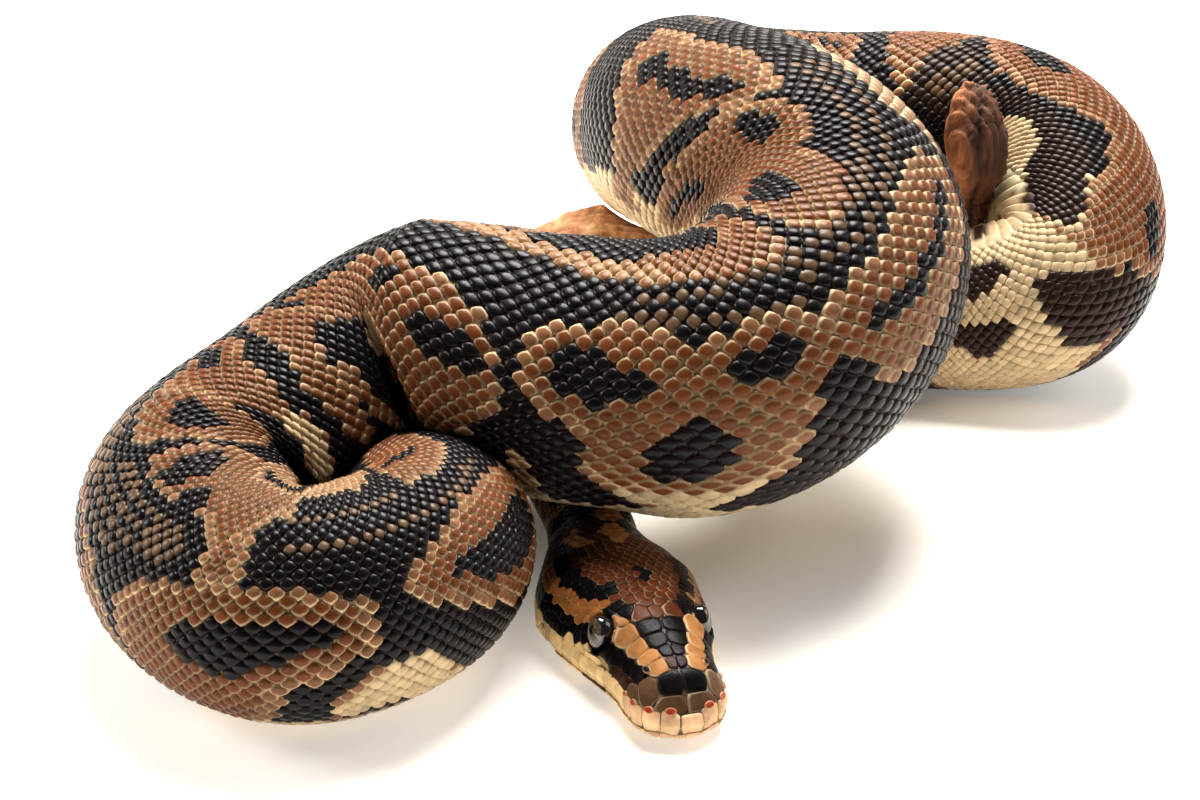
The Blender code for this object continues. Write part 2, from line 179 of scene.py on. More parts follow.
# --------------------------------------------------------------- markings
# Each mark is a colour name, the width of its pale rim and either an outline of
# places (distance from the snout, angle) or a stroke of places with a radius
# (distance, angle, radius). Later marks lie over earlier ones.
LOOP_MARKS = [
    ("brown", 2.2, [(437, 31), (440, 26), (447, 26), (454, 32), (460, 30), (466, 31), (477, 40), (478, 48),
                    (476, 58), (473, 66), (467, 76), (461, 84), (458, 98), (453, 107), (450, 118),
                    (448, 128),
                    (441, 124), (444, 113), (446, 100), (446, 86), (444, 72), (440, 52)]),
    ("black", 0.0, [(445, 46), (446, 58), (449, 62), (453, 60), (457, 65), (463, 66), (468, 62), (473, 56),
                    (472, 51), (466, 52), (458, 52), (453, 49), (449, 43), (447, 43)]),
    ("brown", 2.2, [(460, 132), (463, 114), (465, 102), (470, 88), (473, 78), (475, 70), (478, 63),
                    (481, 54),
                    (485, 46), (490, 42), (497, 42), (504, 45), (508, 38), (512, 26), (515, 18), (520, 12),
                    (526, 9), (530, 10), (533, 18), (534, 28), (533, 40), (531, 52), (527, 62), (522, 72),
                    (513, 84), (500, 98), (488, 110), (475, 124), (468, 132)]),
    ("black", 0.0, [(464, 126), (468, 124), (471, 118), (476, 112), (482, 104), (480, 100), (475, 104),
                    (470, 110), (466, 118)]),
    ("black", 0.0, [(479, 68), (482, 72), (488, 71), (493, 66), (494, 60), (490, 55), (484, 56),
                    (480, 61)]),
    ("black", 0.0, [(515, 60), (520, 60), (526, 54), (529, 44), (528, 36), (526, 31), (522, 36), (518, 47),
                    (514, 55)]),
    ("brown", 1.8, [(537, 52), (538, 30), (538, 18), (541, 9), (547, 3), (555, 4), (561, 7), (569, 7),
                    (572, 13), (571, 20), (566, 24), (558, 26), (549, 25), (545, 30), (544, 42),
                    (543, 55)]),
    ("tan", 1.0, [(566, 6), (574, 8), (584, 14), (594, 20), (606, 28), (607, 38), (596, 34), (584, 25),
                  (572, 19), (565, 16)]),
    ("speck", 0.0, [(474, 28, 1.1), (492, 26, 1.1), (505, 21, 1.1), (515, 13, 1.1), (528, 7, 1.1),
                    (545, 2, 1.2), (568, -3, 1.2)]),
    ("speck", 0.0, [(474, 17, 1.1), (496, 15, 1.1), (510, 7, 1.1), (524, 0, 1.1), (540, -5, 1.1)]),
    ("speck", 0.0, [(512, 22, 1.0), (520, 14, 1.0)]),
    ("speck", 0.0, [(544, -14, 1.2), (572, -12, 1.2)]),
    ("tan", 1.5, [(464, -10), (470, -3), (477, 4), (486, 5), (490, -2), (491, -10), (495, -18), (497, -24),
                  (485, -20), (474, -13)]),
    ("brown", 2.2, [(499, -18), (500, -8), (503, -3), (508, -1), (515, -2), (522, -6), (530, -13),
                    (537, -17),
                    (541, -24), (545, -28), (543, -38), (538, -50), (535, -60), (530, -60), (522, -53),
                    (512, -45), (505, -37), (500, -28)]),
    ("black", 0.0, [(505, -19), (509, -17), (513, -21), (519, -26), (526, -28), (534, -31), (536, -35),
                    (531, -38), (524, -36), (516, -32), (509, -27)]),
]
MIDDLE_MARKS = [
    ("brown", 2.2, [(543, -24), (545, -19), (548, -16), (552, -17), (555, -22), (560, -24), (563, -19),
                    (569, -15), (576, -16), (582, -20), (585, -28), (585, -37), (584, -46), (580, -54),
                    (575, -61), (574, -70), (573, -80), (570, -90), (568, -98), (562, -103), (556, -100),
                    (552, -88), (549, -74), (547, -60), (545, -48), (541, -40), (540, -32)]),
    ("black", 0.0, [(545, -32), (548, -27), (551, -28), (554, -32), (555, -38), (552, -44), (547, -40)]),
    ("black", 0.0, [(564, -40), (569, -32), (572, -26), (576, -24), (580, -28), (581, -34), (580, -42),
                    (576, -48), (571, -48), (566, -44)]),
    ("black", 0.0, [(560, -54), (563, -60), (565, -68), (565, -78), (562, -85), (558, -82), (555, -72),
                    (556, -62)]),
    ("cream", 1.0, [(552, -88), (556, -90), (560, -92), (566, -90), (570, -90), (568, -99), (562, -105),
                    (556, -102)]),
    ("brown", 2.0, [(587, -50), (589, -38), (591, -28), (594, -20), (599, -14), (606, -10), (612, -4),
                    (620, 0), (630, 5), (638, 12), (642, 17), (644, 5), (645, -20), (639, -22), (633, -22),
                    (627, -28), (621, -33), (615, -36), (612, -48), (608, -62), (606, -78), (604, -90),
                    (599, -91), (594, -84), (590, -72), (587, -60)]),
    ("black", 0.0, [(590, -44), (592, -36), (596, -32), (600, -32), (602, -38), (601, -48), (596, -52),
                    (592, -50)]),
    ("black", 0.0, [(606, -18), (611, -18), (613, -24), (611, -30), (607, -28)]),
    ("black", 0.0, [(633, 2), (636, 8), (638, 4), (638, -8), (636, -10), (633, -4)]),
    ("brown", 1.2, [(583, -84), (586, -88), (584, -104), (583, -120), (580, -118), (581, -98)]),
]
BEND_MARKS = [
    ("cream", 0.6, [(617, -34), (622, -38), (626, -42), (625, -48), (619, -52), (616, -45)]),
    ("cream", 0.6, [(617, -58), (622, -62), (620, -68), (617, -68)]),
    ("cream", 0.6, [(617, -86), (622, -92), (620, -102), (616, -100)]),
    ("brown", 1.0, [(636, -46), (639, -52), (639, -64), (637, -76), (633, -85), (630, -86), (634, -74),
                    (636, -62)]),
    ("brown", 1.4, [(636, -4), (641, 8), (644, 0), (645, -20), (646, -40), (648, -52), (646, -70),
                    (644, -84),
                    (640, -84), (641, -66), (641, -50), (639, -36), (636, -22), (632, -14)]),
    ("brown", 1.4, [(650, 12), (655, 4), (660, 1), (665, -2), (665, -20), (665, -40), (663, -52),
                    (660, -60),
                    (654, -60), (653, -40), (652, -20), (649, -5)]),
    ("cream", 0.8, [(652, -62), (658, -62), (660, -70), (657, -80), (660, -90), (657, -98), (653, -96),
                    (650, -80)]),
    ("black", 0.0, [(651, 8), (654, 6), (658, -2), (659, -10), (658, -17), (655, -12), (653, -2)]),
    ("brown", 2.0, [(667, -1), (672, -2), (678, -4), (681, -10), (682, -25), (683, -40), (684, -55),
                    (682, -66), (677, -71), (671, -70), (667, -64), (666, -45), (666, -25)]),
    ("black", 0.0, [(669, -25), (672, -22), (678, -22), (679, -30), (679, -42), (676, -48), (672, -44),
                    (670, -35)]),
    ("tan", 1.4, [(690, -72), (698, -66), (706, -58), (714, -52), (716, -58), (708, -70), (700, -80),
                  (690, -92), (684, -92)]),
    ("brown", 2.0, [(686, -20), (687, -12), (690, -9), (695, -8), (700, -10), (705, -8), (708, 4),
                    (708, 18),
                    (713, 17), (712, 0), (714, -15), (717, -28), (717, -38), (710, -46), (704, -50),
                    (698, -60), (693, -68), (690, -64), (687, -50), (686, -35)]),
    ("black", 0.0, [(690, -20), (692, -12), (695, -12), (696, -22), (697, -34), (695, -45), (692, -48),
                    (689, -42), (689, -30)]),
    ("black", 0.0, [(699, -9), (703, -9), (703, -20), (701, -26), (699, -18)]),
    ("speck", 0.0, [(667, 8, 1.0), (690, 10, 1.0), (705, 8, 1.0)]),
    ("speck", 0.0, [(667, 16, 1.0), (690, 18, 1.0), (704, 17, 1.0)]),
    ("speck", 0.0, [(672, 25, 1.0), (694, 27, 1.0)]),
    ("speck", 0.0, [(684, 0, 1.0), (703, 1, 1.0)]),
]
FRONT_MARKS = [
    ("brown", 2.0, [(700, 92), (706, 104), (712, 112), (714, 100), (715, 88), (716, 74), (720, 64),
                    (723, 52),
                    (723, 38), (720, 27), (714, 22), (708, 24), (702, 30), (699, 40), (698, 55),
                    (698, 74)]),
    ("black", 0.0, [(706, 52), (708, 60), (711, 67), (714, 62), (717, 54), (720, 46), (719, 38), (714, 38),
                    (709, 40), (707, 45)]),
    ("cream", 0.8, [(720, 105), (724, 109), (733, 110), (736, 100), (733, 90), (732, 80), (730, 70),
                    (726, 67),
                    (722, 72), (720, 84), (719, 95)]),
    ("dark", 0.0, [(719, 104), (727, 102), (728, 112), (720, 114)]),
    ("brown", 2.0, [(728, 34), (730, 44), (734, 52), (739, 62), (743, 72), (749, 72), (752, 64), (756, 58),
                    (757, 46), (757, 30), (754, 20), (748, 11), (742, 8), (736, 12), (731, 20), (728, 27)]),
    ("black", 0.0, [(733, 34), (736, 42), (739, 50), (745, 58), (752, 58), (753, 46), (752, 36), (748, 28),
                    (742, 28), (736, 29)]),
    ("brown", 1.6, [(737, -20), (742, -15), (748, -13), (753, -12), (758, -20), (763, -28), (766, -40),
                    (762, -54), (754, -56), (745, -54), (738, -48), (736, -35)]),
    ("black", 0.0, [(739, -40), (745, -34), (750, -28), (753, -30), (748, -38), (742, -42)]),
    ("tan", 1.2, [(718, -36), (722, -34), (726, -33), (731, -34), (735, -44), (738, -52), (730, -56),
                  (722, -54)]),
    ("speck", 0.0, [(716, 3, 0.8), (730, 2, 0.8), (750, 0, 0.8)]),
    ("speck", 0.0, [(716, -14, 0.7), (733, -16, 0.7)]),
]
# the rear coil's dark marks are brownish black, lighter than the black ground partly as painted sheen
REAR_MARKS = [
    ("cream", 1.0, [(216, -30), (230, -12), (240, -10), (246, -35), (250, -45), (252, -60), (250, -90),
                    (250, -112), (252, -150), (262, -158), (258, -185), (216, -185)]),
    ("dark", 0.0, [(223, -76), (226, -70), (230, -62), (233, -68), (235, -74), (236, -82), (233, -88),
                   (228, -88), (224, -84)]),
    ("dark", 0.0, [(226, -108), (232, -107), (234, -115), (237, -120), (235, -128), (230, -130),
                   (225, -125)]),
    ("dark", 0.0, [(229, -150), (233, -156), (234, -172), (230, -178)]),
    ("dark", 0.0, [(243, -48), (247, -40), (254, -46), (252, -68), (249, -85), (247, -98), (245, -103),
                    (241, -102), (240, -94), (241, -78), (242, -62)]),
    ("dark", 0.0, [(252, -118), (258, -113), (266, -104), (272, -96), (284, -96), (300, -84), (306, -60),
                    (309, -36), (315, -42), (318, -56), (318, -78), (308, -96), (298, -100), (290, -106),
                    (284, -111), (276, -119), (274, -130), (268, -142), (262, -151), (256, -155),
                    (252, -146)]),
    ("brown", 2.2, [(256, -40), (262, -30), (275, -26), (290, -20), (300, -14), (308, -14), (307, -35),
                    (305, -50), (303, -64), (299, -76), (292, -86), (284, -85), (279, -76), (275, -74),
                    (271, -80), (267, -92), (262, -104), (256, -112), (251, -110), (249, -98), (251, -85),
                    (253, -68)]),
    ("black", 0.0, [(256, -54), (260, -50), (264, -52), (264, -62), (260, -68), (256, -62)]),
    ("black", 0.0, [(292, -54), (294, -40), (298, -28), (303, -26), (300, -45), (296, -58)]),
    ("speck", 0.0, [(309, -60, 2.2), (314, -68, 2.6), (311, -76, 2.0)]),
    ("brown", 1.8, [(311, -14), (318, -8), (325, -4), (326, -25), (324, -42), (322, -56), (320, -70),
                    (318, -50), (314, -38), (311, -26)]),
    ("black", 0.0, [(325, -30), (327, -8), (332, -6), (331, -28), (329, -42), (326, -54), (324, -42)]),
    ("brown", 1.8, [(332, -40), (333, -12), (338, -4), (347, -1), (358, 3), (352, -8), (344, -20),
                    (336, -40)]),
    ("black", 0.0, [(336, -26), (339, -16), (344, -8), (351, -3), (346, -11), (341, -21)]),
]
HEAD_MARKS = [
    ("snout", 0.0, [(-4, 0, 4.0), (2, 0, 9.0), (8, 60, 3.0), (11, 78, 3.0), (17, 80, 2.0)]),
    ("snout", 0.0, [(2, 0, 9.0), (8, -60, 3.0), (11, -78, 3.0), (17, -80, 2.0)]),
    ("chestnut", 0.0, [(17, 0, 3.0), (22, 0, 5.0), (30, 0, 8.0), (38, 0, 9.0), (46, 4, 7.0),
                       (52, 12, 3.0)]),
    ("gold", 0.0, [(7.4, 21, 1.0), (10.3, 27, 1.4), (13.6, 34, 1.8), (20, 41, 2.3)]),
    ("gold", 0.0, [(7.4, -21, 1.0), (10.3, -27, 1.4), (13.6, -34, 1.8), (20, -41, 2.3)]),
    ("amber", 0.0, [(25, 48, 2.0), (32, 54, 3.3), (40, 59, 3.6), (47, 63, 2.6)]),
    ("amber", 0.0, [(25, -44, 2.2), (32, -50, 3.9), (40, -57, 3.9), (47, -61, 2.6)]),
    ("black", 0.0, [(9, 0, 0.8), (13, 12, 1.6), (18, 24, 1.6), (24, 32, 1.6)]),
    ("black", 0.0, [(9, 0, 0.8), (13, -12, 1.6), (18, -24, 1.6), (24, -32, 1.6)]),
    ("black", 0.0, [(3.9, 13, 0.8), (4.8, 6, 1.0), (8, 0, 0.7), (12, 0, 2.2), (16, 0, 2.6)]),
    ("black", 0.0, [(3.9, -13, 0.8), (4.8, -6, 1.0)]),
    ("black", 0.0, [(28, 36, 1.2), (36, 42, 2.2), (46, 46, 2.6), (54, 48, 2.4)]),
    ("black", 0.0, [(28, -33, 1.4), (36, -40, 2.4), (46, -45, 2.8), (54, -48, 2.4)]),
    ("black", 0.0, [(8.4, 46, 0.9), (15, 57, 1.4), (21, 64, 1.8), (26, 66, 2.0), (34, 71, 2.3),
                    (42, 75, 2.5),
                    (54, 82, 3.0)]),
    ("black", 0.0, [(8.4, -46, 0.9), (15, -57, 1.4), (21, -64, 1.8), (26, -66, 2.0), (34, -70, 2.3),
                    (42, -74, 2.5), (54, -80, 3.0)]),
    # pale lips, their colour partly brightened as painted light where they lie in shade
    ("lip", 0.0, [(15, 88, 2.4), (22, 86, 2.8), (30, 88, 3.0), (42, 92, 2.8), (50, 94, 2.2)]),
    ("lip", 0.0, [(15, -86, 2.4), (22, -84, 2.8), (30, -86, 3.0), (42, -90, 2.8), (50, -92, 2.2)]),
    ("gold", 0.0, [(13, -86, 1.3), (17, -84, 1.5)]),
    ("lip_brown", 0.0, [(0.7, 30, 1.0), (4.6, 44, 1.4), (5, 70, 1.8), (9, 80, 1.6)]),
    ("lip_brown", 0.0, [(0.7, -30, 1.0), (4.6, -44, 1.4), (5, -70, 1.8), (9, -80, 1.6)]),
    ("black", 0.0, [(31, 4, 0.9), (34, 2, 1.2)]),
    ("black", 0.0, [(28, -28, 1.2), (30, -26, 1.2)]),
    ("black", 0.0, [(28, 28, 1.0), (30, 28, 1.0)]),
    # gold nape marks, painted 1.6 times brighter as painted light where they lie in the coil's shadow
    ("nape", 0.0, [(48, 2, 1.6), (54, 6, 2.4)]),
    ("nape", 0.0, [(49, -22, 1.5), (54, -34, 2.0)]),
    ("nape", 0.0, [(60, 10, 2.4), (63, 18, 3.6), (67, 24, 2.4)]),
]
MARKS = LOOP_MARKS + MIDDLE_MARKS + BEND_MARKS + FRONT_MARKS + REAR_MARKS + HEAD_MARKS
# stretches whose side the marks above already cover: start, end, side (1 is the body's right)
DRAWN = [(0, 62, -1), (0, 62, 1), (214, 352, -1), (436, 574, 1), (458, 768, -1), (692, 768, 1)]

# ------------------------------------------------------------------- surface
def unit(vectors, axis=None):
    """Vectors brought to length 1, one vector or one along the given axis."""
    return vectors / np.linalg.norm(vectors, axis=axis, keepdims=axis is not None)


def half_width(run):
    """Half width of the body at distances from the snout."""
    return np.interp(run, [row[0] for row in GIRTH], [row[1] for row in GIRTH])


def signed_angle(angle, start=0.0):
    """Angle from a start, brought between -180 and 180 degrees."""
    return (angle - start + 180.0) % 360.0 - 180.0


def gone_along(points):
    """Distance gone at each point of a line."""
    return np.concatenate([[0.0], np.cumsum(np.linalg.norm(np.diff(points, axis=0), axis=1))])


def spline(knots, values, query):
    """Natural cubic spline through the values at the knots."""
    count = len(knots)
    step = np.diff(knots)
    matrix = np.zeros((count, count))
    right = np.zeros(values.shape)
    matrix[0, 0] = matrix[-1, -1] = 1.0
    for i in range(1, count - 1):
        matrix[i, i - 1] = step[i - 1]
        matrix[i, i] = 2.0 * (step[i - 1] + step[i])
        matrix[i, i + 1] = step[i]
        right[i] = 6.0 * ((values[i + 1] - values[i]) / step[i]
                          - (values[i] - values[i - 1]) / step[i - 1])
    bend = np.linalg.solve(matrix, right)
    cell = np.clip(np.searchsorted(knots, query) - 1, 0, count - 2)
    ahead = (query - knots[cell])[:, None]
    width = step[cell][:, None]
    slope = (values[cell + 1] - values[cell]) / width
    slope = slope - width * (2.0 * bend[cell] + bend[cell + 1]) / 6.0
    cubic = (bend[cell + 1] - bend[cell]) / (6.0 * width)
    return values[cell] + slope * ahead + bend[cell] / 2.0 * ahead ** 2 + cubic * ahead ** 3


def path_table(points):
    """The smooth path as a dense table: distance run and its columns."""
    values = np.array(points, float)
    knots = gone_along(values[:, :3])
    dense = spline(knots, values, np.linspace(0.0, knots[-1], 4000))
    return gone_along(dense[:, :3]), dense


RUN, DENSE = path_table(PATH)


def on_path(where):
    """Columns of the path table at distances from the snout."""
    return np.stack([np.interp(where, RUN, DENSE[:, c]) for c in range(4)], 1)


def girth(where):
    """Half width, rise, drop and both roundnesses at distances from the snout."""
    table = np.array(GIRTH)
    return np.stack([np.interp(where, table[:, 0], table[:, c]) for c in range(1, 6)], 1)


def frames(where):
    """Centre, direction, back direction and right-hand direction."""
    centre = on_path(where)
    ahead = on_path(np.clip(where + 1.0, 0.0, RUN[-1]))[:, :3]
    behind = on_path(np.clip(where - 1.0, 0.0, RUN[-1]))[:, :3]
    along = unit(ahead - behind, 1)
    up = unit(UP - along[:, 2:3] * along, 1)
    right = np.cross(along, up)
    turn = np.radians(centre[:, 3])[:, None]
    back = up * np.cos(turn) + right * np.sin(turn)
    side = right * np.cos(turn) - up * np.sin(turn)
    return centre[:, :3], along, back, side


def shaped(value, power):
    """Signed power, for boxy rings."""
    return np.sign(value) * np.abs(value) ** power


def body_rings(where, angles):
    """Points of the body's outer surface: one row of points for each distance."""
    centre, _, back, side = frames(where)
    size = girth(where)
    power = np.where(np.cos(angles)[None, :] > 0.0, size[:, 3:4], size[:, 4:5])
    across = size[:, 0:1] * shaped(np.sin(angles)[None, :], power)
    height = shaped(np.cos(angles)[None, :], power)
    height = np.where(height > 0.0, height * size[:, 1:2], height * size[:, 2:3])
    arm = across[..., None] * side[:, None, :] + height[..., None] * back[:, None, :]
    reach = pressed(where, centre, arm, size[:, 0])
    point = centre[:, None, :] + reach[..., None] * arm
    return on_floor(point, centre)


def pressed(where, centre, arm, radius):
    """Share of each arm left where coils press on each other or bend."""
    other_run = np.linspace(0.0, RUN[-1], int(RUN[-1] / 3.0))
    other = on_path(other_run)[:, :3]
    other_radius = girth(other_run)[:, 0]
    reach = np.full(arm.shape[:2], 3.0)
    for place, spot, spot_radius in zip(other_run, other, other_radius):
        offset = spot - centre
        distance = np.linalg.norm(offset, axis=1)
        close = np.nonzero((distance > 0.5) & (distance < radius + spot_radius + 8.0))[0]
        if not len(close):
            continue
        gap = distance[close]
        bend = np.abs(where[close] - place) < NEAR
        toward = (arm[close] * offset[close][:, None, :]).sum(2)
        room = gap ** 2 - spot_radius ** 2 + radius[close] ** 2 - GAP * gap * 2.0
        room = np.where(bend, BEND_LIMIT * gap ** 2, room)
        limit = np.where(toward > 1e-6, room[:, None] / np.maximum(2.0 * toward, 1e-6), 3.0)
        reach[close] = np.minimum(reach[close], limit)
    reach = np.maximum(reach, 0.05)
    eased = -CONTACT_SOFT * np.log(np.exp(-1.0 / CONTACT_SOFT) + np.exp(-reach / CONTACT_SOFT))
    return np.clip(eased, 0.05, 1.0)


def on_floor(point, centre):
    """Shorten the arms that reach below the floor, so the rings stay flat."""
    height = point[..., 2]
    start = np.broadcast_to(centre[:, None, 2], height.shape)
    share = np.where(height < 0.0, start / np.maximum(start - height, 1e-6), 1.0)
    flat = centre[:, None, :] + (point - centre[:, None, :]) * share[..., None]
    flat[..., 2] = np.maximum(flat[..., 2], 0.0)
    return flat


def head_axes():
    """Middle of the head at the eyes, and its level directions backward and sideways."""
    centre, along = frames(np.array([EYE_FROM_SNOUT]))[:2]
    backward = unit(along[0] * [1.0, 1.0, 0.0])
    return centre[0], backward, np.array([backward[1], -backward[0], 0.0])


def head_places(points):
    """Length from the snout, height, and the mouth line's height there, near the head."""
    centre, backward, _ = head_axes()
    run = EYE_FROM_SNOUT + (points - centre) @ backward
    return run, points[..., 2], MOUTH_HEIGHT + MOUTH_RISE * run


def eye_centre(sign):
    """Middle of one eye, with sign 1 on the body's right-hand direction."""
    centre, _, _, side = frames(np.array([EYE_FROM_SNOUT]))
    spot = centre[0] + side[0] * EYE_ASIDE * sign
    spot[2] = EYE_HEIGHT - sign * HEAD_TILT
    return spot


def normals_of(grid):
    """Outward directions of a grid that closes round its second axis."""
    along = np.gradient(grid, axis=0)
    across = np.roll(grid, -1, axis=1) - np.roll(grid, 1, axis=1)
    facing = np.cross(along, across)
    length = np.linalg.norm(facing, axis=2)[..., None]
    facing = facing / np.maximum(length, 1e-9)
    middle = grid.mean(axis=1, keepdims=True)
    inward = (facing * (grid - middle)).sum(2).mean() < 0.0
    return -facing if inward else facing


class Surface:
    """The coat's outer surface, which can be asked for a point at any place."""

    def __init__(self):
        cap = np.array([4.4, 4.3, 4.0, 3.3, 2.3, 1.2, 0.5])    # rings before the snout's first one
        runs = np.concatenate([np.arange(0.0, HEAD_END, 0.4), np.arange(HEAD_END, RUN[-1] - 0.6, 1.2)])
        self.angles = np.linspace(0.0, 2.0 * math.pi, 240, endpoint=False)
        rings = body_rings(runs, self.angles)
        middle = rings[0].mean(axis=0)
        ahead = frames(np.array([0.0]))[1][0]
        dome = [middle + (rings[0] - middle) * math.sin(a) - ahead * 1.5 * math.cos(a)
                for a in np.linspace(0.02, math.pi / 2.0 - 0.2, len(cap))]
        self.runs = np.concatenate([-cap, runs])
        self.grid = np.concatenate([np.array(dome), rings])
        self.out = normals_of(self.grid)
        self.grid = sculpted(self.grid, self.out)
        self.out = normals_of(self.grid)

    def at(self, run, angle, lift=0.0):
        """Points at distances and angles (degrees), raised by lift."""
        row = np.interp(run, self.runs, np.arange(len(self.runs)))
        column = np.radians(angle) / (2.0 * math.pi) * len(self.angles)
        low = np.clip(np.floor(row).astype(int), 0, len(self.runs) - 2)
        left = np.floor(column).astype(int)
        up = (row - low)[..., None]
        over = (column - left)[..., None]
        count = len(self.angles)
        a, b = left % count, (left + 1) % count

        def mixed(field):
            near = field[low, a] * (1.0 - over) + field[low, b] * over
            far = field[low + 1, a] * (1.0 - over) + field[low + 1, b] * over
            return near * (1.0 - up) + far * up

        facing = unit(mixed(self.out), -1)
        return mixed(self.grid) + facing * np.asarray(lift)[..., None], facing


def coat_depth(run):
    """Thickness of the coat: the skin lies this far inside the solids."""
    head = 0.42
    body = np.clip(0.034 * half_width(run), 0.2, 0.9)
    nape = head + (body - head) * (run - 50.0) / 12.0
    return np.where(run < 50.0, head, np.where(run < HEAD_END, nape, body))


def bump(distance, width):
    """A smooth hump of height 1 and the given half width."""
    return np.exp(-(distance / width) ** 2)


def sculpted(grid, out):
    """The mouth line and the lids round the eyes, pressed into the grid."""
    run, height, mouth = head_places(grid)
    near = run < 60.0
    inside = (run < JAW_LENGTH + 1.0) & near
    fade = np.clip((JAW_LENGTH + 1.0 - run) / 4.0, 0.0, 1.0)
    move = np.zeros(run.shape)
    move -= 0.55 * bump(height - mouth, 0.55) * fade * inside
    for sign in (-1.0, 1.0):
        away = np.linalg.norm(grid - eye_centre(sign), axis=2)
        lid = 0.62 * bump(away - EYE_RADIUS - 0.85, 0.8)
        hollow = -1.6 * np.clip((EYE_RADIUS + 0.25 - away) / 0.8, 0.0, 1.0)
        move += np.where(near, lid + hollow, 0.0)
    return grid + out * move[..., None]


# ---------------------------------------------------------------- colouring
def stroke_distance(run, angle, points):
    """Distance in mm from places on the body to the edge of a stroke."""
    best = np.full(run.shape, 1e9)
    half = half_width(run)
    for (s0, a0, r0), (s1, a1, r1) in zip(points[:-1], points[1:]):
        x = run - s0
        y = np.radians(signed_angle(angle, a0)) * half
        dx = s1 - s0
        dy = np.radians(a1 - a0) * half
        length = dx * dx + dy * dy
        share = np.clip((x * dx + y * dy) / np.maximum(length, 1e-9), 0.0, 1.0)
        away = np.hypot(x - share * dx, y - share * dy) - (r0 + (r1 - r0) * share)
        best = np.minimum(best, away)
    return best


def rounded(points):
    """A closed outline with two more places on each side, so its corners are soft."""
    here = np.array(points, float)
    before, after, beyond = np.roll(here, 1, 0), np.roll(here, -1, 0), np.roll(here, -2, 0)
    places = [here]
    for t in (1.0 / 3.0, 2.0 / 3.0):
        places.append(0.5 * (2.0 * here + (after - before) * t
                             + (2.0 * before - 5.0 * here + 4.0 * after - beyond) * t * t
                             + (3.0 * here - before - 3.0 * after + beyond) * t ** 3))
    return np.stack(places, 1).reshape(-1, 2)


def outline_distance(run, angle, points):
    """Distance in mm to a closed outline, negative inside it."""
    outline = rounded(points)
    middle = outline[:, 1].mean()
    half = half_width(run)
    best = np.full(run.shape, 1e9)
    inside = np.zeros(run.shape, bool)
    y = np.radians(signed_angle(angle, middle)) * half
    for (s0, a0), (s1, a1) in zip(outline, np.roll(outline, -1, 0)):
        y0 = np.radians(a0 - middle) * half
        y1 = np.radians(a1 - middle) * half
        dx, dy = s1 - s0, y1 - y0
        length = np.maximum(dx * dx + dy * dy, 1e-9)
        share = np.clip(((run - s0) * dx + (y - y0) * dy) / length, 0.0, 1.0)
        best = np.minimum(best, np.hypot(run - s0 - share * dx, y - y0 - share * dy))
        spans = (s0 > run) != (s1 > run)
        if dx != 0.0:
            inside ^= spans & (y < y0 + (run - s0) / dx * dy)
    return np.where(inside, -best, best)


def ragged(run, angle, seed=0.0):
    """A slow wobble in mm that keeps painted edges from looking ruled."""
    a = np.radians(angle)
    return (0.6 * np.sin(run * 0.55 + 3.0 * a + seed) + 0.5 * np.sin(run * 0.23 - 5.0 * a + 2.0 * seed)
            + 0.4 * np.sin(run * 1.10 + 9.0 * a + seed))


CROWN_EDGE = 60.0        # angles at which the head's crown, the pale flank and the belly begin
CHIN_EDGE = 92.0
FLANK_EDGE = 112.0
BELLY_EDGE = 140.0


def painted(run, angle, colours):
    """Colour, rim colour and rim strength at places on the body."""
    around = np.abs(signed_angle(angle))
    tint = np.empty(run.shape + (3,))
    rim = np.empty(run.shape + (3,))
    share = np.zeros(run.shape)

    def lay(name, where):
        tint[where] = colours[name][0]
        rim[where] = colours[name][1]
        share[where] = colours[name][2]

    lay("black", np.ones(run.shape, bool))
    belly = around > FLANK_EDGE + 5.0 * np.sin(run * 0.21) + 4.0 * np.sin(run * 0.083 + 1.0)
    lay("cream", belly)
    lay("belly", around > BELLY_EDGE)
    lay("crown", (run < 58.0) & (around < CROWN_EDGE))
    lay("belly", (run < HEAD_END) & (around > CHIN_EDGE))
    for name, edge, points in FAR_MARKS + MARKS:
        drawn = len(points[0]) == 2
        reach = 5.0 if drawn else max(p[2] for p in points) + 4.0
        low = min(p[0] for p in points) - reach
        high = max(p[0] for p in points) + reach
        near = np.nonzero((run > low) & (run < high))
        measure = outline_distance if drawn else stroke_distance
        away = measure(run[near], angle[near], points)
        if edge > 0.0:
            away = away + 0.3 * ragged(run[near], angle[near], points[0][0])
            lay("rim", tuple(axis[away < edge * 0.2] for axis in near))
            lay(name, tuple(axis[away < -edge * 0.6] for axis in near))
        else:
            lay(name, tuple(axis[away < 0.0] for axis in near))
    return tint, rim, share


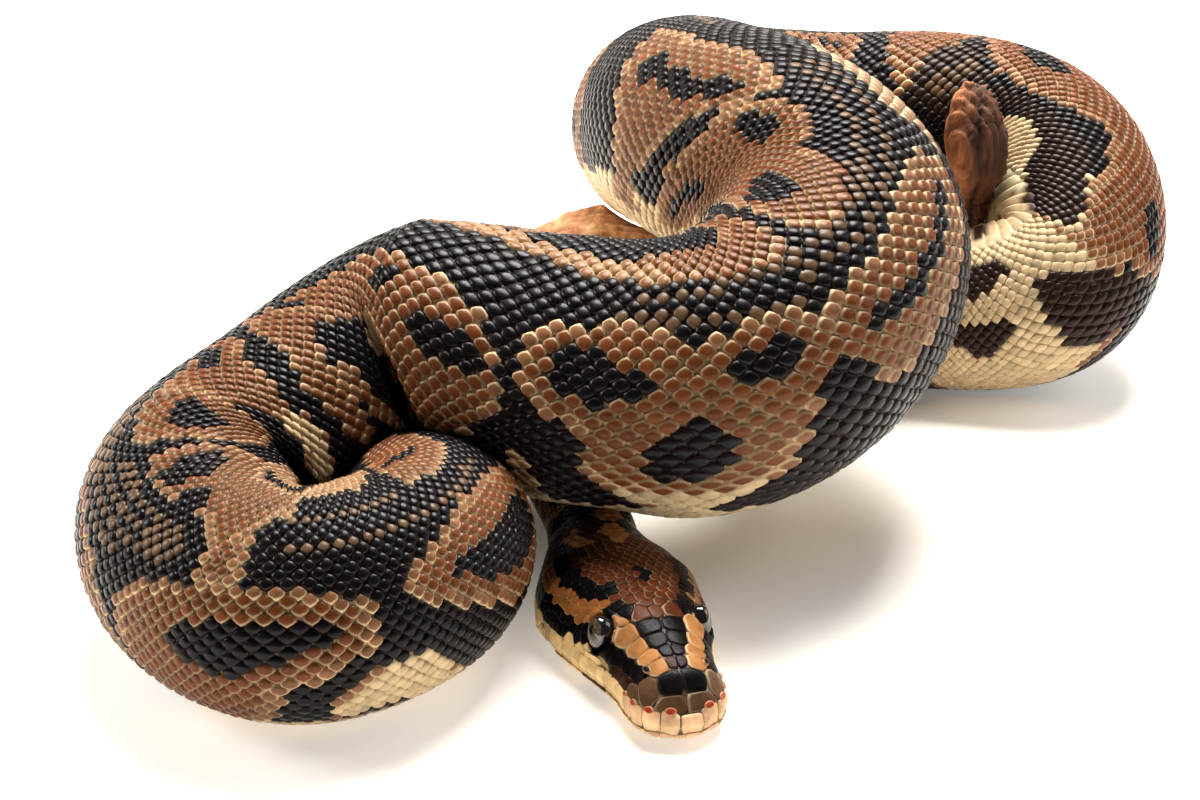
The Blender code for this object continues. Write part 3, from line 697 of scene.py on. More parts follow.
def far_marks():
    """Blotches and specks on the lengths and sides without drawn ones, from a fixed seed."""
    chance = np.random.default_rng(7)
    marks = []
    place = 70.0
    while place < 852.0:
        half = float(half_width(place))
        for sign in (-1, 1):
            middle = sign * (58.0 + 12.0 * chance.random())
            size = half * (0.40 + 0.14 * chance.random())
            shift = size * chance.random() + (half * 0.5 if sign > 0 else 0.0)
            if any(m[0] - 6.0 < place + shift < m[1] + 4.0 and m[2] == sign for m in DRAWN):
                continue
            s = place + shift
            # a blotch in three steps, a dark patch near its root and perhaps one near its tip
            marks.append(("brown", 2.0, [(s - size * 0.5, middle - sign * 16, size * 0.75),
                                         (s, middle, size),
                                         (s + size * 0.5, middle + sign * 22, size * 0.9)]))
            marks.append(("black", 0.0, [(s - size * 0.4, middle - sign * 14, size * 0.26),
                                         (s + size * 0.1, middle - sign * 10, size * 0.32)]))
            if chance.random() < 0.6:
                marks.append(("black", 0.0, [(s + size * 0.2, middle + sign * 20, size * 0.22),
                                             (s + size * 0.5, middle + sign * 24, size * 0.26)]))
        if not 430.0 < place < 770.0 and chance.random() < 0.6:
            marks.append(("speck", 0.0, [(place, 6.0 * chance.normal(), 1.0),
                                         (place + half * 0.9, 6.0 * chance.normal(), 1.0)]))
        place += half * 1.45
    return marks


FAR_MARKS = far_marks()

# -------------------------------------------------------------------- meshes
def lengths(points):
    """Table millimetres to metres about the middle of the footprint."""
    return (np.asarray(points, float) - [CENTRE_X, CENTRE_Y, 0.0]) * MM


def add_mesh(name, points, faces):
    """A smooth mesh object from points in table millimetres and faces of one kind."""
    points = lengths(points).reshape(-1, 3)
    faces = np.asarray(faces)
    mesh = bpy.data.meshes.new(name)
    mesh.vertices.add(len(points))
    mesh.vertices.foreach_set("co", points.astype(np.float32).ravel())
    mesh.loops.add(faces.size)
    mesh.loops.foreach_set("vertex_index", faces.astype(np.int32).ravel())
    mesh.polygons.add(len(faces))
    corners = faces.shape[1]
    mesh.polygons.foreach_set("loop_start", np.arange(0, faces.size, corners, dtype=np.int32))
    mesh.polygons.foreach_set("loop_total", np.full(len(faces), corners, np.int32))
    mesh.polygons.foreach_set("use_smooth", np.full(len(faces), True))
    mesh.update(calc_edges=True)
    mesh.validate()
    made = bpy.data.objects.new(name, mesh)
    bpy.context.collection.objects.link(made)
    return made


def add_colour(made, name, values):
    """A colour attribute with one value for each point."""
    full = np.ones((len(values), 4), np.float32)
    full[:, :values.shape[1]] = values
    layer = made.data.color_attributes.new(name, "FLOAT_COLOR", "POINT")
    layer.data.foreach_set("color", full.ravel())


def add_colours(made, tint, rim, share, per=1):
    """The piece's own tint and rim, each value given to so many points in turn."""
    add_colour(made, "Tint", np.repeat(tint, per, 0))
    add_colour(made, "Rim", np.repeat(np.concatenate([rim, share[:, None]], 1), per, 0))


def add_uv(made, name, places, faces):
    """A UV map with one place for each point."""
    layer = made.data.uv_layers.new(name=name)
    spread = places[np.asarray(faces).ravel()].astype(np.float32)
    layer.data.foreach_set("uv", spread.ravel())


def repeated(faces, times, per):
    """One piece's faces repeated for pieces that have so many points each."""
    return (faces[None] + (np.arange(times) * per)[:, None, None]).reshape(-1, faces.shape[1])


def clear_selection():
    """Nothing selected and nothing in edit mode."""
    if bpy.context.object and bpy.context.object.mode != "OBJECT":
        bpy.ops.object.mode_set(mode="OBJECT")
    bpy.ops.object.select_all(action="DESELECT")


def take_template(made):
    """Points and faces of a modelled object, which is then removed."""
    mesh = made.data
    points = np.array([v.co[:] for v in mesh.vertices])
    faces = [p.vertices[:] for p in mesh.polygons]
    bpy.data.objects.remove(made, do_unlink=True)
    return points, faces


def dome_template(sides, steps):
    """One scale: a disc inset and raised into a low dome with a steep edge."""
    clear_selection()
    bpy.ops.mesh.primitive_circle_add(vertices=sides, radius=1.0, fill_type="NGON")
    made = bpy.context.object
    bpy.ops.object.mode_set(mode="EDIT")
    bpy.ops.mesh.select_all(action="SELECT")
    for thickness, depth in steps:
        bpy.ops.mesh.inset(thickness=thickness, depth=depth)
    bpy.ops.mesh.poke()
    bpy.ops.mesh.select_all(action="SELECT")
    bpy.ops.mesh.quads_convert_to_tris()
    bpy.ops.object.mode_set(mode="OBJECT")
    return take_template(made)


SKIN_FLOOR = 0.15        # the skin stays this far above the floor, mm
# the coat's stretches: name, start, end, rows of scales, and pitch as a share of the half width
NECK_SCALES = ("scales_neck", 58.5, 150.0, 36, 0.19)
TAIL_SCALES = ("scales_tail", 790.0, 866.5, 32, 0.21)
BODY_CUTS = (150.0, 254.0, 326.0, 398.0, 469.0, 540.0, 611.0, 692.0, 790.0)
SCUTES = (58.0, 864.0, 0.22)


def skin_piece(surface, colours):
    """One skin over head, jaws, neck, trunk and tail, just under the coat."""
    on_body = surface.runs >= HEAD_END
    rows = np.concatenate([np.nonzero(~on_body)[0], np.nonzero(on_body)[0][::2]])
    columns = np.arange(0, len(surface.angles), 2)
    runs = np.broadcast_to(surface.runs[rows][:, None], (len(rows), len(columns)))
    angles = np.degrees(np.broadcast_to(surface.angles[columns][None, :], runs.shape))
    depth = coat_depth(runs)
    points = surface.grid[rows][:, columns] - surface.out[rows][:, columns] * depth[..., None]
    points[..., 2] = np.maximum(points[..., 2], SKIN_FLOOR)
    count = len(columns)
    index = np.arange(len(rows) * count).reshape(len(rows), count)
    a, b = index[:-1], index[1:]
    faces = np.stack([a, np.roll(a, -1, 1), np.roll(b, -1, 1), b], -1).reshape(-1, 4)
    ends = []
    for row, flip in ((index[0], True), (index[-1], False)):
        for j in range(count // 2 - 1):
            quad = [row[j], row[j + 1], row[count - 2 - j], row[count - 1 - j]]
            ends.append(quad[::-1] if flip else quad)
    faces = np.concatenate([faces, np.array(ends)])
    made = add_mesh("skin", points.reshape(-1, 3), faces)
    fix_outward(made)
    add_colours(made, *painted(runs.ravel(), angles.ravel(), colours))
    return made


def fix_outward(made):
    """Point every face of a closed piece outwards."""
    mesh = bmesh.new()
    mesh.from_mesh(made.data)
    bmesh.ops.recalc_face_normals(mesh, faces=mesh.faces)
    mesh.to_mesh(made.data)
    mesh.free()


# scale length along the body as a share of the usual one: the coat lies closer
# where the outer side of a tight bend stretches it
CLOSENESS = [(0, 1.0), (680, 1.0), (700, 0.85), (709, 0.65), (722, 0.66), (740, 0.84), (762, 0.95),
             (790, 1.0)]
PATCH = 0.0015           # half width of each scale's patch on the unwrap


def scale_sites(start, end, rows, pitch, edge, chance):
    """Places of the scales on one stretch: alternate rows shifted by half a pitch."""
    fine = np.linspace(start, end, 4000)
    share = pitch * np.interp(fine, [row[0] for row in CLOSENESS], [row[1] for row in CLOSENESS])
    wide = share * half_width(fine)
    count = np.concatenate([[0.0], np.cumsum(np.diff(fine) / wide[1:])])
    runs, angles = [], []
    spread = 360.0 - 2.0 * edge
    for k in range(rows):
        places = np.arange(0.0 if k % 2 else 0.5, count[-1], 1.0)
        run = np.interp(places, count, fine)
        runs.append(run)
        angles.append(np.full(len(run), -180.0 + edge + (k + 0.5) * spread / rows))
    run = np.concatenate(runs)
    angle = np.concatenate(angles)
    length = np.interp(run, fine, wide)
    run = run + chance.normal(0.0, 0.03, len(run)) * length
    angle = angle + chance.normal(0.0, 0.04, len(run)) * spread / rows
    return run, angle, length, np.full(len(run), spread / rows)


def unwrap_places(run, angle):
    """Even places on an unwrap of the body: each row of scales has its own width."""
    fine = np.linspace(0.0, RUN[-1], 3000)
    count = np.concatenate([[0.0], np.cumsum(np.diff(fine) / np.maximum(0.16 * half_width(fine)[1:], 1.0))])
    u = np.interp(run, fine, count / count[-1]) * 0.98 + 0.01
    v = (angle + 180.0) % 360.0 / 360.0 * 0.98 + 0.01
    return np.stack([u, v], -1)


def scale_piece(name, surface, sites, template, sizes, colours, chance):
    """Joined scales: the template set at each place and bent to the body's surface."""
    run, angle, pitch, pace = sites
    points, faces = template[0], np.array(template[1])
    x, y, z = points.T
    power = sizes["squareness"]
    reach = np.abs(x) ** power + np.abs(y) ** power
    reach = np.maximum(reach, 1e-9) ** (-1.0 / power) * np.hypot(x, y)
    x, y = x * reach, y * reach
    x = np.where(x > 0.0, x * sizes["tip"], x * sizes["root"])
    size = 1.0 + chance.normal(0.0, 0.03, len(run))
    where = run[:, None] + x[None, :] * (pitch * size)[:, None]
    turned = angle[:, None] + y[None, :] * (pace * size)[:, None] * sizes["width"]
    depth = coat_depth(run) * (1.0 + chance.normal(0.0, 0.05, len(run)))
    lean = 0.80 + 0.20 * np.clip(x, -1.0, 1.0)
    lift = z[None, :] * lean[None, :] * depth[:, None] - coat_depth(run)[:, None]
    spot = surface.at(where, turned, lift)[0]
    spot[..., 2] = np.maximum(spot[..., 2], 0.0)
    per = len(points)
    tris = repeated(faces, len(run), per)
    made = add_mesh(name, spot.reshape(-1, 3), tris)
    tint, rim, share = painted(run, angle, colours)
    value = 1.0 + chance.normal(0.0, 0.10, len(run))
    add_colours(made, tint * value[:, None], rim, share, per)
    local = np.tile(points[:, :2], (len(run), 1))
    root = np.repeat(unwrap_places(run, angle), per, 0)
    add_uv(made, "OFBake", root + local * PATCH, tris)
    add_uv(made, "Scale", local * 0.5 + 0.5, tris)
    return made


def scute_piece(name, surface, start, end, step, edge, colours):
    """Wide belly scutes, each a low plate whose free edge covers the next root."""
    fine = np.linspace(start, end, 2000)
    count = np.concatenate([[0.0], np.cumsum(np.diff(fine) / (step * half_width(fine)[1:]))])
    run = np.interp(np.arange(0.5, count[-1], 1.0), count, fine)
    across = np.linspace(-1.0, 1.0, 15)
    along = np.array([-0.56, -0.50, -0.1, 0.35, 0.52, 0.58])
    rise = np.array([-0.3, 0.25, 0.55, 0.9, 0.85, -0.1])
    edge_fall = np.clip((1.0 - np.abs(across)) / 0.12, 0.0, 1.0)
    xs, ys = np.meshgrid(along, across, indexing="ij")
    zs = rise[:, None] * np.where(edge_fall[None, :] < 1.0, edge_fall[None, :] - 0.35, 1.0)
    xs = xs * (1.0 - 0.25 * np.abs(ys) ** 3)
    pitch = step * half_width(run)
    where = run[:, None, None] + xs[None] * pitch[:, None, None]
    turned = 180.0 + ys[None] * edge * 1.06 + 0.0 * where
    lift = (zs[None] - 1.0) * coat_depth(run)[:, None, None]
    spot = surface.at(where, turned, lift)[0]
    spot[..., 2] = np.maximum(spot[..., 2], 0.0)
    rows, columns = xs.shape
    index = np.arange(rows * columns).reshape(rows, columns)
    quads = np.stack([index[:-1, :-1], index[:-1, 1:], index[1:, 1:], index[1:, :-1]], -1).reshape(-1, 4)
    per = rows * columns
    faces = repeated(quads, len(run), per)
    made = add_mesh(name, spot.reshape(-1, 3), faces)
    add_colours(made, *painted(where.ravel(), turned.ravel(), colours))
    local = np.stack([np.broadcast_to(xs, where.shape), np.broadcast_to(ys, where.shape)], -1)
    root = np.repeat(unwrap_places(run, np.full(len(run), 180.0)), per, 0)
    plain = unwrap_places(where.ravel(), turned.ravel())
    add_uv(made, "OFBake", np.stack([root[:, 0] + local[..., 0].ravel() * 0.004, plain[:, 1]], -1), faces)
    add_uv(made, "Scale", local.reshape(-1, 2) * [0.9, 0.5] + 0.5, faces)
    return made

# --------------------------------------------------------------------- head
LIP_HEIGHT = 3.5         # height of the plates along the lips, mm
# widths of the lip plates on one side, from the middle one back, mm
LIP_WIDTHS = (4.4, 3.9, 3.8, 3.5, 3.0, 2.8, 2.7, 2.6, 2.6, 2.6, 2.6, 2.7, 2.8, 3.0)
LIP_BELOW = LIP_HEIGHT * 0.9
LOW_LIP_WIDTH = 2.5      # width of the lower lip's plates
NO_FENCE = (None, None)
CORNER = 28.0            # how square the head plates' corners stay
RIM_END = (1.0, -0.05)
# share of the way out and of the thickness, for the rings of each kind of plate
CROWN_RINGS = [(0.70, 0.99), (0.92, 0.94), (0.975, 0.66), RIM_END]
LIP_RINGS = [(0.3, 1.0), (0.6, 0.98), (0.84, 0.92), (0.94, 0.76), (0.985, 0.42), RIM_END]
LOW_RINGS = [(0.62, 0.97), (0.86, 0.84), (0.95, 0.50), RIM_END]
# the large plates of the snout, in mirrored pairs: distance from the tip, angle, size in mm
SNOUT_PLATES = [
    (0.7, 26, 3.2), (3.9, 14, 3.6), (4.8, 42, 3.6), (7.4, 21, 3.4), (10.3, 27, 3.5), (13.6, 34, 3.6),
    (17.4, 37, 3.8),
    (21.6, 36, 3.4), (7.6, 4, 1.7), (10.9, 5, 2.0), (13.8, 11, 3.0), (17.2, 13, 3.4), (20.8, 12, 3.2),
    (8.4, 44, 3.0), (12.0, 52, 2.8), (15.4, 56, 2.6), (18.6, 58, 2.4),
    (3.6, 70, 3.2), (7.0, 66, 2.9), (10.4, 69, 2.7), (13.6, 72, 2.5), (16.8, 74, 2.3),
    (6.3, 86, 2.5), (9.0, 86, 2.3), (11.6, 87, 2.3), (14.2, 88, 2.2), (16.8, 88, 2.0),
]
# heat pits of the lip and the nostrils: distance round the snout or from its tip, and radii
PITS = [(3.7, 1.10, 0.70), (7.7, 1.05, 0.68), (11.4, 0.92, 0.60), (14.7, 0.70, 0.48)]
NOSTRIL = (7.8, 33.0, 1.05, 0.66)


def head_tree(surface):
    """The head's sculpted surface as a search tree."""
    rows = int(np.searchsorted(surface.runs, 70.0))
    count = len(surface.angles)
    points = surface.grid[:rows].reshape(-1, 3)
    index = np.arange(rows * count).reshape(rows, count)
    a, b = index[:-1], index[1:]
    faces = np.stack([a, b, np.roll(b, -1, 1), np.roll(a, -1, 1)], -1).reshape(-1, 4)
    return BVHTree.FromPolygons([Vector(p) for p in points], [tuple(f) for f in faces.tolist()])


def on_head(tree, surface, points):
    """Nearest surface points, outward directions and places on the body."""
    flat = np.asarray(points, float).reshape(-1, 3)
    spot = np.empty(flat.shape)
    cell = np.empty(len(flat), int)
    for i, p in enumerate(flat):
        spot[i], _, cell[i], _ = tree.find_nearest(p)
    count = len(surface.angles)
    row, column = cell // count, cell % count
    facing = unit(surface.out[row, column] + surface.out[row + 1, (column + 1) % count], 1)
    return spot, facing, surface.runs[row], np.degrees(surface.angles[column])


def jaw_outline(tree, height):
    """Places round the snout at a height above the mouth line, from the front middle back."""
    centre, backward, aside = head_axes()
    bend = centre + backward * (9.0 - EYE_FROM_SNOUT)
    outlines = {}
    for sign in (-1.0, 1.0):
        rays = [(bend, -backward * math.cos(math.radians(lean)) + aside * sign * math.sin(math.radians(lean)))
                for lean in np.linspace(0.0, 90.0, 40)]
        rays += [(centre + backward * (run - EYE_FROM_SNOUT), aside * sign)
                 for run in np.arange(9.5, 48.0, 0.5)]
        line = []
        for base, aim in rays:
            run = float((base - centre) @ backward) + EYE_FROM_SNOUT
            start = base.copy()
            start[2] = MOUTH_HEIGHT + MOUTH_RISE * run + height
            hit = tree.ray_cast(Vector(start), Vector(aim), 60.0)[0]
            if hit is not None:
                line.append(hit[:])
        line = np.array(line)
        outlines[sign] = (gone_along(line), line)
    return outlines


def outline_point(outline, place):
    """The point at a signed distance round the snout from its front middle."""
    gone, line = outline[-1.0 if place < 0.0 else 1.0]
    return np.array([np.interp(abs(place), gone, line[:, c]) for c in range(3)])


def clipped(poly, normal, limit):
    """A convex polygon cut to the side where points times normal stay under a limit."""
    kept = []
    count = len(poly)
    for i in range(count):
        here, there = poly[i], poly[(i + 1) % count]
        a = here @ normal - limit
        b = there @ normal - limit
        if a <= 0.0:
            kept.append(here)
        if (a < 0.0 < b) or (b < 0.0 < a):
            kept.append(here + (there - here) * (a / (a - b)))
    return kept


def head_cells(seeds, facings, sizes, fences, ahead):
    """The patch of each plate in its own plane, shared out between its neighbours."""
    cells = []
    for i, (spot, facing) in enumerate(zip(seeds, facings)):
        first = ahead - facing * (ahead @ facing)
        if np.linalg.norm(first) < 0.3:
            first = UP - facing * facing[2]
        first = unit(first)
        second = np.cross(facing, first)
        reach = sizes[i] * 1.1
        poly = [np.array(p) * reach for p in ((-1.0, -1.0), (1.0, -1.0), (1.0, 1.0), (-1.0, 1.0))]
        offset = seeds - spot
        away = np.linalg.norm(offset, axis=1)
        for j in np.nonzero((away > 1e-6) & (away < 3.4 * max(sizes[i], 1.0)))[0]:
            if facings[j] @ facing < -0.2:
                continue
            flat = np.array([offset[j] @ first, offset[j] @ second])
            length = np.linalg.norm(flat)
            if length < 1e-6:
                continue
            flat = flat * (away[j] / length)
            share = sizes[i] / (sizes[i] + sizes[j])
            poly = clipped(poly, flat, away[j] ** 2 * share)
            if len(poly) < 3:
                break
        low, high = fences[i]
        slope = np.array([first[2], second[2]])
        if low is not None and len(poly) >= 3:
            poly = clipped(poly, -slope, spot[2] - low)
        if high is not None and len(poly) >= 3:
            poly = clipped(poly, slope, high - spot[2])
        cells.append((first, second, poly))
    return cells


def rounded_outline(poly, gap, sides):
    """Middle of a patch, its outline with rounded corners, and its area."""
    poly = np.array(poly)
    nxt = np.roll(poly, -1, axis=0)
    cross = poly[:, 0] * nxt[:, 1] - nxt[:, 0] * poly[:, 1]
    area = cross.sum() / 2.0
    middle = ((poly + nxt) * cross[:, None]).sum(0) / (6.0 * area)
    turn = np.linspace(0.0, 2.0 * math.pi, sides, endpoint=False)
    aim = np.stack([np.cos(turn), np.sin(turn)], 1)
    edge = nxt - poly
    outward = np.stack([edge[:, 1], -edge[:, 0]], 1)
    if area < 0.0:
        outward = -outward
    outward /= np.maximum(np.linalg.norm(outward, axis=1), 1e-9)[:, None]
    far = ((poly - middle) * outward).sum(1) - gap
    facing = aim @ outward.T
    reach = np.where(facing > 1e-4, np.maximum(far, 0.05)[None, :] / np.maximum(facing, 1e-4), 1e3)
    soft = (reach ** -CORNER).sum(1) ** (-1.0 / CORNER)
    return middle, aim * soft[:, None], abs(area)


def plate_mesh(tree, surface, seeds, sizes, fences, thick, rings, sides, gap):
    """Raised plates, one for each seed: points, faces and each plate's place."""
    spots, facings, runs, angles = on_head(tree, surface, seeds)
    cells = head_cells(spots, facings, sizes, fences, head_axes()[1])
    factors, rises = np.array(rings).T
    middle_point = [[0.0, 0.0]]

    def rings_of(outline):
        return np.concatenate([middle_point, (factors[:, None, None] * outline[None]).reshape(-1, 2)])

    points, local, roots = [], [], []
    for i, (first, second, poly) in enumerate(cells):
        if len(poly) < 3:
            continue
        middle, outline, area = rounded_outline(poly, gap, sides)
        if area < 0.15:
            continue
        flat = rings_of(outline) + middle
        local.append(rings_of(unit(outline, 1)))
        points.append(spots[i] + flat[:, :1] * first + flat[:, 1:] * second)
        roots.append(i)
    base, facing, run, _ = on_head(tree, surface, points)
    rise = np.concatenate([[1.0], np.repeat(rises, sides)]) * thick
    lift = np.tile(rise, len(points))[:, None]
    spot = base + facing * (lift - coat_depth(run)[:, None])
    ring = np.arange(sides)
    nxt = (ring + 1) % sides
    faces = [np.stack([np.zeros(sides, int), 1 + ring, 1 + nxt], 1)]
    for k in range(len(rings) - 1):
        a, b = 1 + k * sides + ring, 1 + k * sides + nxt
        faces += [np.stack([a, a + sides, b], 1), np.stack([b, a + sides, b + sides], 1)]
    per = 1 + sides * len(rings)
    return (spot, repeated(np.concatenate(faces), len(points), per), per, runs[roots], angles[roots],
            np.array(local).reshape(-1, 2), roots)


def crown_spacing(run, around):
    """Width of the small scales over the head, wider on the snout."""
    size = np.interp(run, [0.0, 8.0, 16.0, 22.0, 30.0, 40.0, 58.0], [2.6, 3.0, 3.0, 2.5, 2.1, 1.9, 1.7])
    return np.where(around > 50.0, np.minimum(size, 2.0), size)


def crown_seeds(surface, chance):
    """Seeds and widths of the plates all round the head, before the lips and eyes are left out."""
    seeds, sizes = [], []
    run = 1.2
    row = 0
    while run < 61.0:
        size = float(crown_spacing(run, 0.0))
        gone = gone_along(surface.at(np.full(361, run), np.arange(361.0))[0])
        place = 0.5 * size * (row % 2)
        while place < gone[-1] - 0.3 * size:
            angle = float(np.interp(place, gone, np.arange(361.0)))
            here = float(crown_spacing(run, abs(signed_angle(angle))))
            seeds.append((run + chance.normal(0.0, 0.07) * here,
                          angle + chance.normal(0.0, 0.05) * here * 4.0))
            sizes.append(here)
            place += here
        run += 0.84 * size
        row += 1
    seeds, sizes = np.array(seeds), np.array(sizes)
    plates = np.array([(s, a * sign, size) for s, a, size in SNOUT_PLATES for sign in (-1.0, 1.0)])
    points = surface.at(seeds[:, 0], seeds[:, 1])[0]
    large = surface.at(plates[:, 0], plates[:, 1])[0]
    reach = 0.5 * (sizes[:, None] + plates[None, :, 2])
    away = np.linalg.norm(points[:, None] - large[None], axis=2) / reach
    keep = (away.min(1) > 0.85) & ((seeds[:, 0] > 17.5) | (np.abs(signed_angle(seeds[:, 1])) > 95.0))
    return np.concatenate([large, points[keep]]), np.concatenate([plates[:, 2], sizes[keep]])


def lip_row(outline, places, widths, look_at):
    """Seeds, widths and colour names of a row of lip plates on both sides, the middle plate once."""
    row = [(outline_point(outline, sign * place), width, look_at(place))
           for sign in (-1.0, 1.0) for place, width in zip(places, widths) if place > 0.0 or sign > 0.0]
    seeds, sizes, looks = zip(*row)
    return np.array(seeds), np.array(sizes), looks


def crown_group(tree, surface, chance):
    """Seeds, widths and fences of the plates above the lips, under the chin and round the eyes."""
    seeds, sizes = crown_seeds(surface, chance)
    run, height, mouth = head_places(seeds)
    behind = run >= JAW_LENGTH + 2.0
    keep = (height > mouth + LIP_HEIGHT + 0.3) | (height < mouth - LIP_BELOW - 0.2) | behind
    for sign in (-1.0, 1.0):
        keep &= np.linalg.norm(seeds - eye_centre(sign), axis=1) > EYE_RADIUS + 0.9
    seeds, sizes = seeds[keep], sizes[keep]
    fences = [NO_FENCE if run >= JAW_LENGTH + 2.0 else
              ((mouth + LIP_HEIGHT - 0.5, None) if height > mouth else (None, mouth - LIP_BELOW))
              for run, height, mouth in zip(*head_places(seeds))]
    ring = []
    for sign in (-1.0, 1.0):
        spot = eye_centre(sign)
        out = on_head(tree, surface, [spot + (spot - head_axes()[0]) * 0.4])[1][0]
        first = unit(np.cross(out, UP))
        second = np.cross(out, first)
        for turn in (2.0 * math.pi * k / 11.0 for k in range(11)):
            ring.append(spot + (first * math.cos(turn) + second * math.sin(turn)) * (EYE_RADIUS + 0.75))
    ring = on_head(tree, surface, ring)[0]
    return (np.concatenate([seeds, ring]), np.concatenate([sizes, np.full(len(ring), 1.5)]),
            fences + [NO_FENCE] * len(ring))


def head_pieces(surface, colours, chance):
    """All plates and small scales of the head, as one coat piece."""
    tree = head_tree(surface)
    places = [0.0]
    for near, far in zip(LIP_WIDTHS[:-1], LIP_WIDTHS[1:]):
        places.append(places[-1] + (near + far) / 2.0)
    lips, lip_sizes, lip_looks = lip_row(jaw_outline(tree, LIP_HEIGHT * 0.5), places, LIP_WIDTHS,
                                         lambda place: "pink" if place < 16.0 else "lip")
    low_places = np.arange(0.0, 40.0, LOW_LIP_WIDTH)
    low, low_sizes, low_looks = lip_row(
        jaw_outline(tree, -LIP_HEIGHT * 0.45), low_places, [LOW_LIP_WIDTH] * len(low_places),
        lambda place: "pink" if place < 9.0 else ("lip_brown" if 23.0 < place < 31.0 else "lip"))
    # seeds, widths, fences, thickness, rings, sides, gap and colour names of each kind of plate
    groups = (
        (*crown_group(tree, surface, chance), 0.30, CROWN_RINGS, 16, 0.005, None),
        (lips, lip_sizes, [(mouth - 0.25, mouth + LIP_HEIGHT) for mouth in head_places(lips)[2]],
         0.45, LIP_RINGS, 24, 0.0, lip_looks),
        (low, low_sizes, [(mouth - LIP_BELOW, mouth - 0.35) for mouth in head_places(low)[2]],
         0.42, LOW_RINGS, 14, 0.03, low_looks))
    points, faces, tints, rims, roots, shapes = [], [], [], [], [], []
    start = 0
    for *plan, looks in groups:
        spot, tris, per, run, angle, local, kept = plate_mesh(tree, surface, *plan)
        tint, rim, share = painted(run, angle, colours)
        if looks is not None:
            tint, rim, share = (np.array([colours[looks[k]][part] for k in kept]) for part in range(3))
        value = 1.0 + chance.normal(0.0, 0.08, len(run))
        points.append(spot)
        faces.append(tris + start)
        tints.append(np.repeat(tint * value[:, None], per, 0))
        rims.append(np.repeat(np.concatenate([rim, share[:, None]], 1), per, 0))
        roots.append(np.repeat(unwrap_places(run, angle), per, 0) + local * PATCH)
        shapes.append(local * 0.5 + 0.5)
        start += len(spot)
    points = np.concatenate(points)
    points[:, 2] = np.maximum(points[:, 2], 0.0)
    faces = np.concatenate(faces)
    piece = add_mesh("head_scales", points, faces)
    add_colour(piece, "Tint", np.concatenate(tints))
    add_colour(piece, "Rim", np.concatenate(rims))
    add_uv(piece, "OFBake", np.concatenate(roots), faces)
    add_uv(piece, "Scale", np.concatenate(shapes), faces)
    return piece


def pit_piece(surface, colours):
    """Heat pits along the upper lip and the two nostrils: small cups with a raised lip. The nostrils are
    black, painted shade for their openings.
    """
    tree = head_tree(surface)
    upper = jaw_outline(tree, LIP_HEIGHT * 0.96)
    spots, radii, tints = [], [], []
    for sign in (-1.0, 1.0):
        for place, wide, high in PITS:
            spots.append(outline_point(upper, sign * place))
            radii.append((wide, high))
            tints.append(colours["pit"][0])
        # each nostril is a black disc: painted shade for the opening
        spots.append(surface.at(np.array([NOSTRIL[0]]), np.array([NOSTRIL[1] * sign]))[0][0])
        radii.append(NOSTRIL[2:])
        tints.append(colours["nostril"][0])
    base, facing, run, angle = on_head(tree, surface, spots)
    clear_selection()
    bpy.ops.mesh.primitive_circle_add(vertices=20, radius=1.0, fill_type="NGON", location=(0.0, 0.0, 0.0))
    bpy.ops.object.mode_set(mode="EDIT")
    bpy.ops.mesh.select_all(action="SELECT")
    for step in (0.16, 0.18, 0.22):
        bpy.ops.mesh.inset(thickness=step)
    bpy.ops.mesh.poke()
    bpy.ops.object.mode_set(mode="OBJECT")
    flat, faces = take_template(bpy.context.object)
    tris = np.array([(f[0], f[k], f[k + 1]) for f in faces for k in range(1, len(f) - 1)])
    away = np.hypot(flat[:, 0], flat[:, 1])
    rise = np.interp(away, [0.0, 0.45, 0.66, 0.84, 1.0], [0.0, 0.01, 0.06, 0.08, -0.35])
    points, shades = [], []
    for spot, out, (wide, high), tint in zip(base, facing, radii, tints):
        first = unit(np.cross(out, UP))
        second = np.cross(first, out)
        grow = 0.11 + rise
        points.append(spot + flat[:, :1] * wide * first + flat[:, 1:2] * high * second
                      + out * grow[:, None])
        edge = np.clip((away - 0.74) / 0.2, 0.0, 1.0)[:, None]
        shades.append(tint * (1.0 - edge) + colours["pit_rim"][0] * edge)
    count = len(flat)
    tris = repeated(tris, len(points), count)
    made = add_mesh("heat_pits", np.concatenate(points), tris)
    add_colour(made, "Tint", np.concatenate(shades))
    roots = np.repeat(unwrap_places(run, angle), count, 0) + np.tile(flat[:, :2] * PATCH, (len(spots), 1))
    add_uv(made, "OFBake", roots, tris)
    return made

# ---------------------------------------------------------------- materials
def plug(tree, value, socket):
    """Set a socket to a value, or link it to another node's output."""
    if isinstance(value, bpy.types.NodeSocket):
        tree.links.new(value, socket)
    else:
        socket.default_value = value


def add_node(tree, kind, inputs=None, **settings):
    """A shader node with its settings. Each input takes a value or another node's output."""
    made = tree.nodes.new("ShaderNode" + kind)
    for name, value in settings.items():
        setattr(made, name, value)
    for name, value in (inputs or {}).items():
        plug(tree, value, made.inputs[name])
    return made


def own_colour(tree, name):
    """A colour attribute of the piece, by its name."""
    return add_node(tree, "Attribute", attribute_name=name).outputs


def noise(tree, place, scale, detail, **inputs):
    """Noise at a place, as a value from 0 to 1."""
    inputs = {"Vector": place, "Scale": scale, "Detail": detail, **inputs}
    return add_node(tree, "TexNoise", inputs).outputs["Fac"]


def spread(tree, value, low, high, to_low, to_high, **settings):
    """A value carried from one range to another."""
    return add_node(tree, "MapRange", {"Value": value, "From Min": low, "From Max": high, "To Min": to_low,
                                       "To Max": to_high}, **settings).outputs["Result"]


def scaled(tree, vector, size):
    """A colour or vector made larger or smaller."""
    return add_node(tree, "VectorMath", {0: vector, "Scale": size}, operation="SCALE").outputs[0]


def sums(tree, operation, first, second):
    """One step of arithmetic."""
    return add_node(tree, "Math", {0: first, 1: second}, operation=operation).outputs[0]


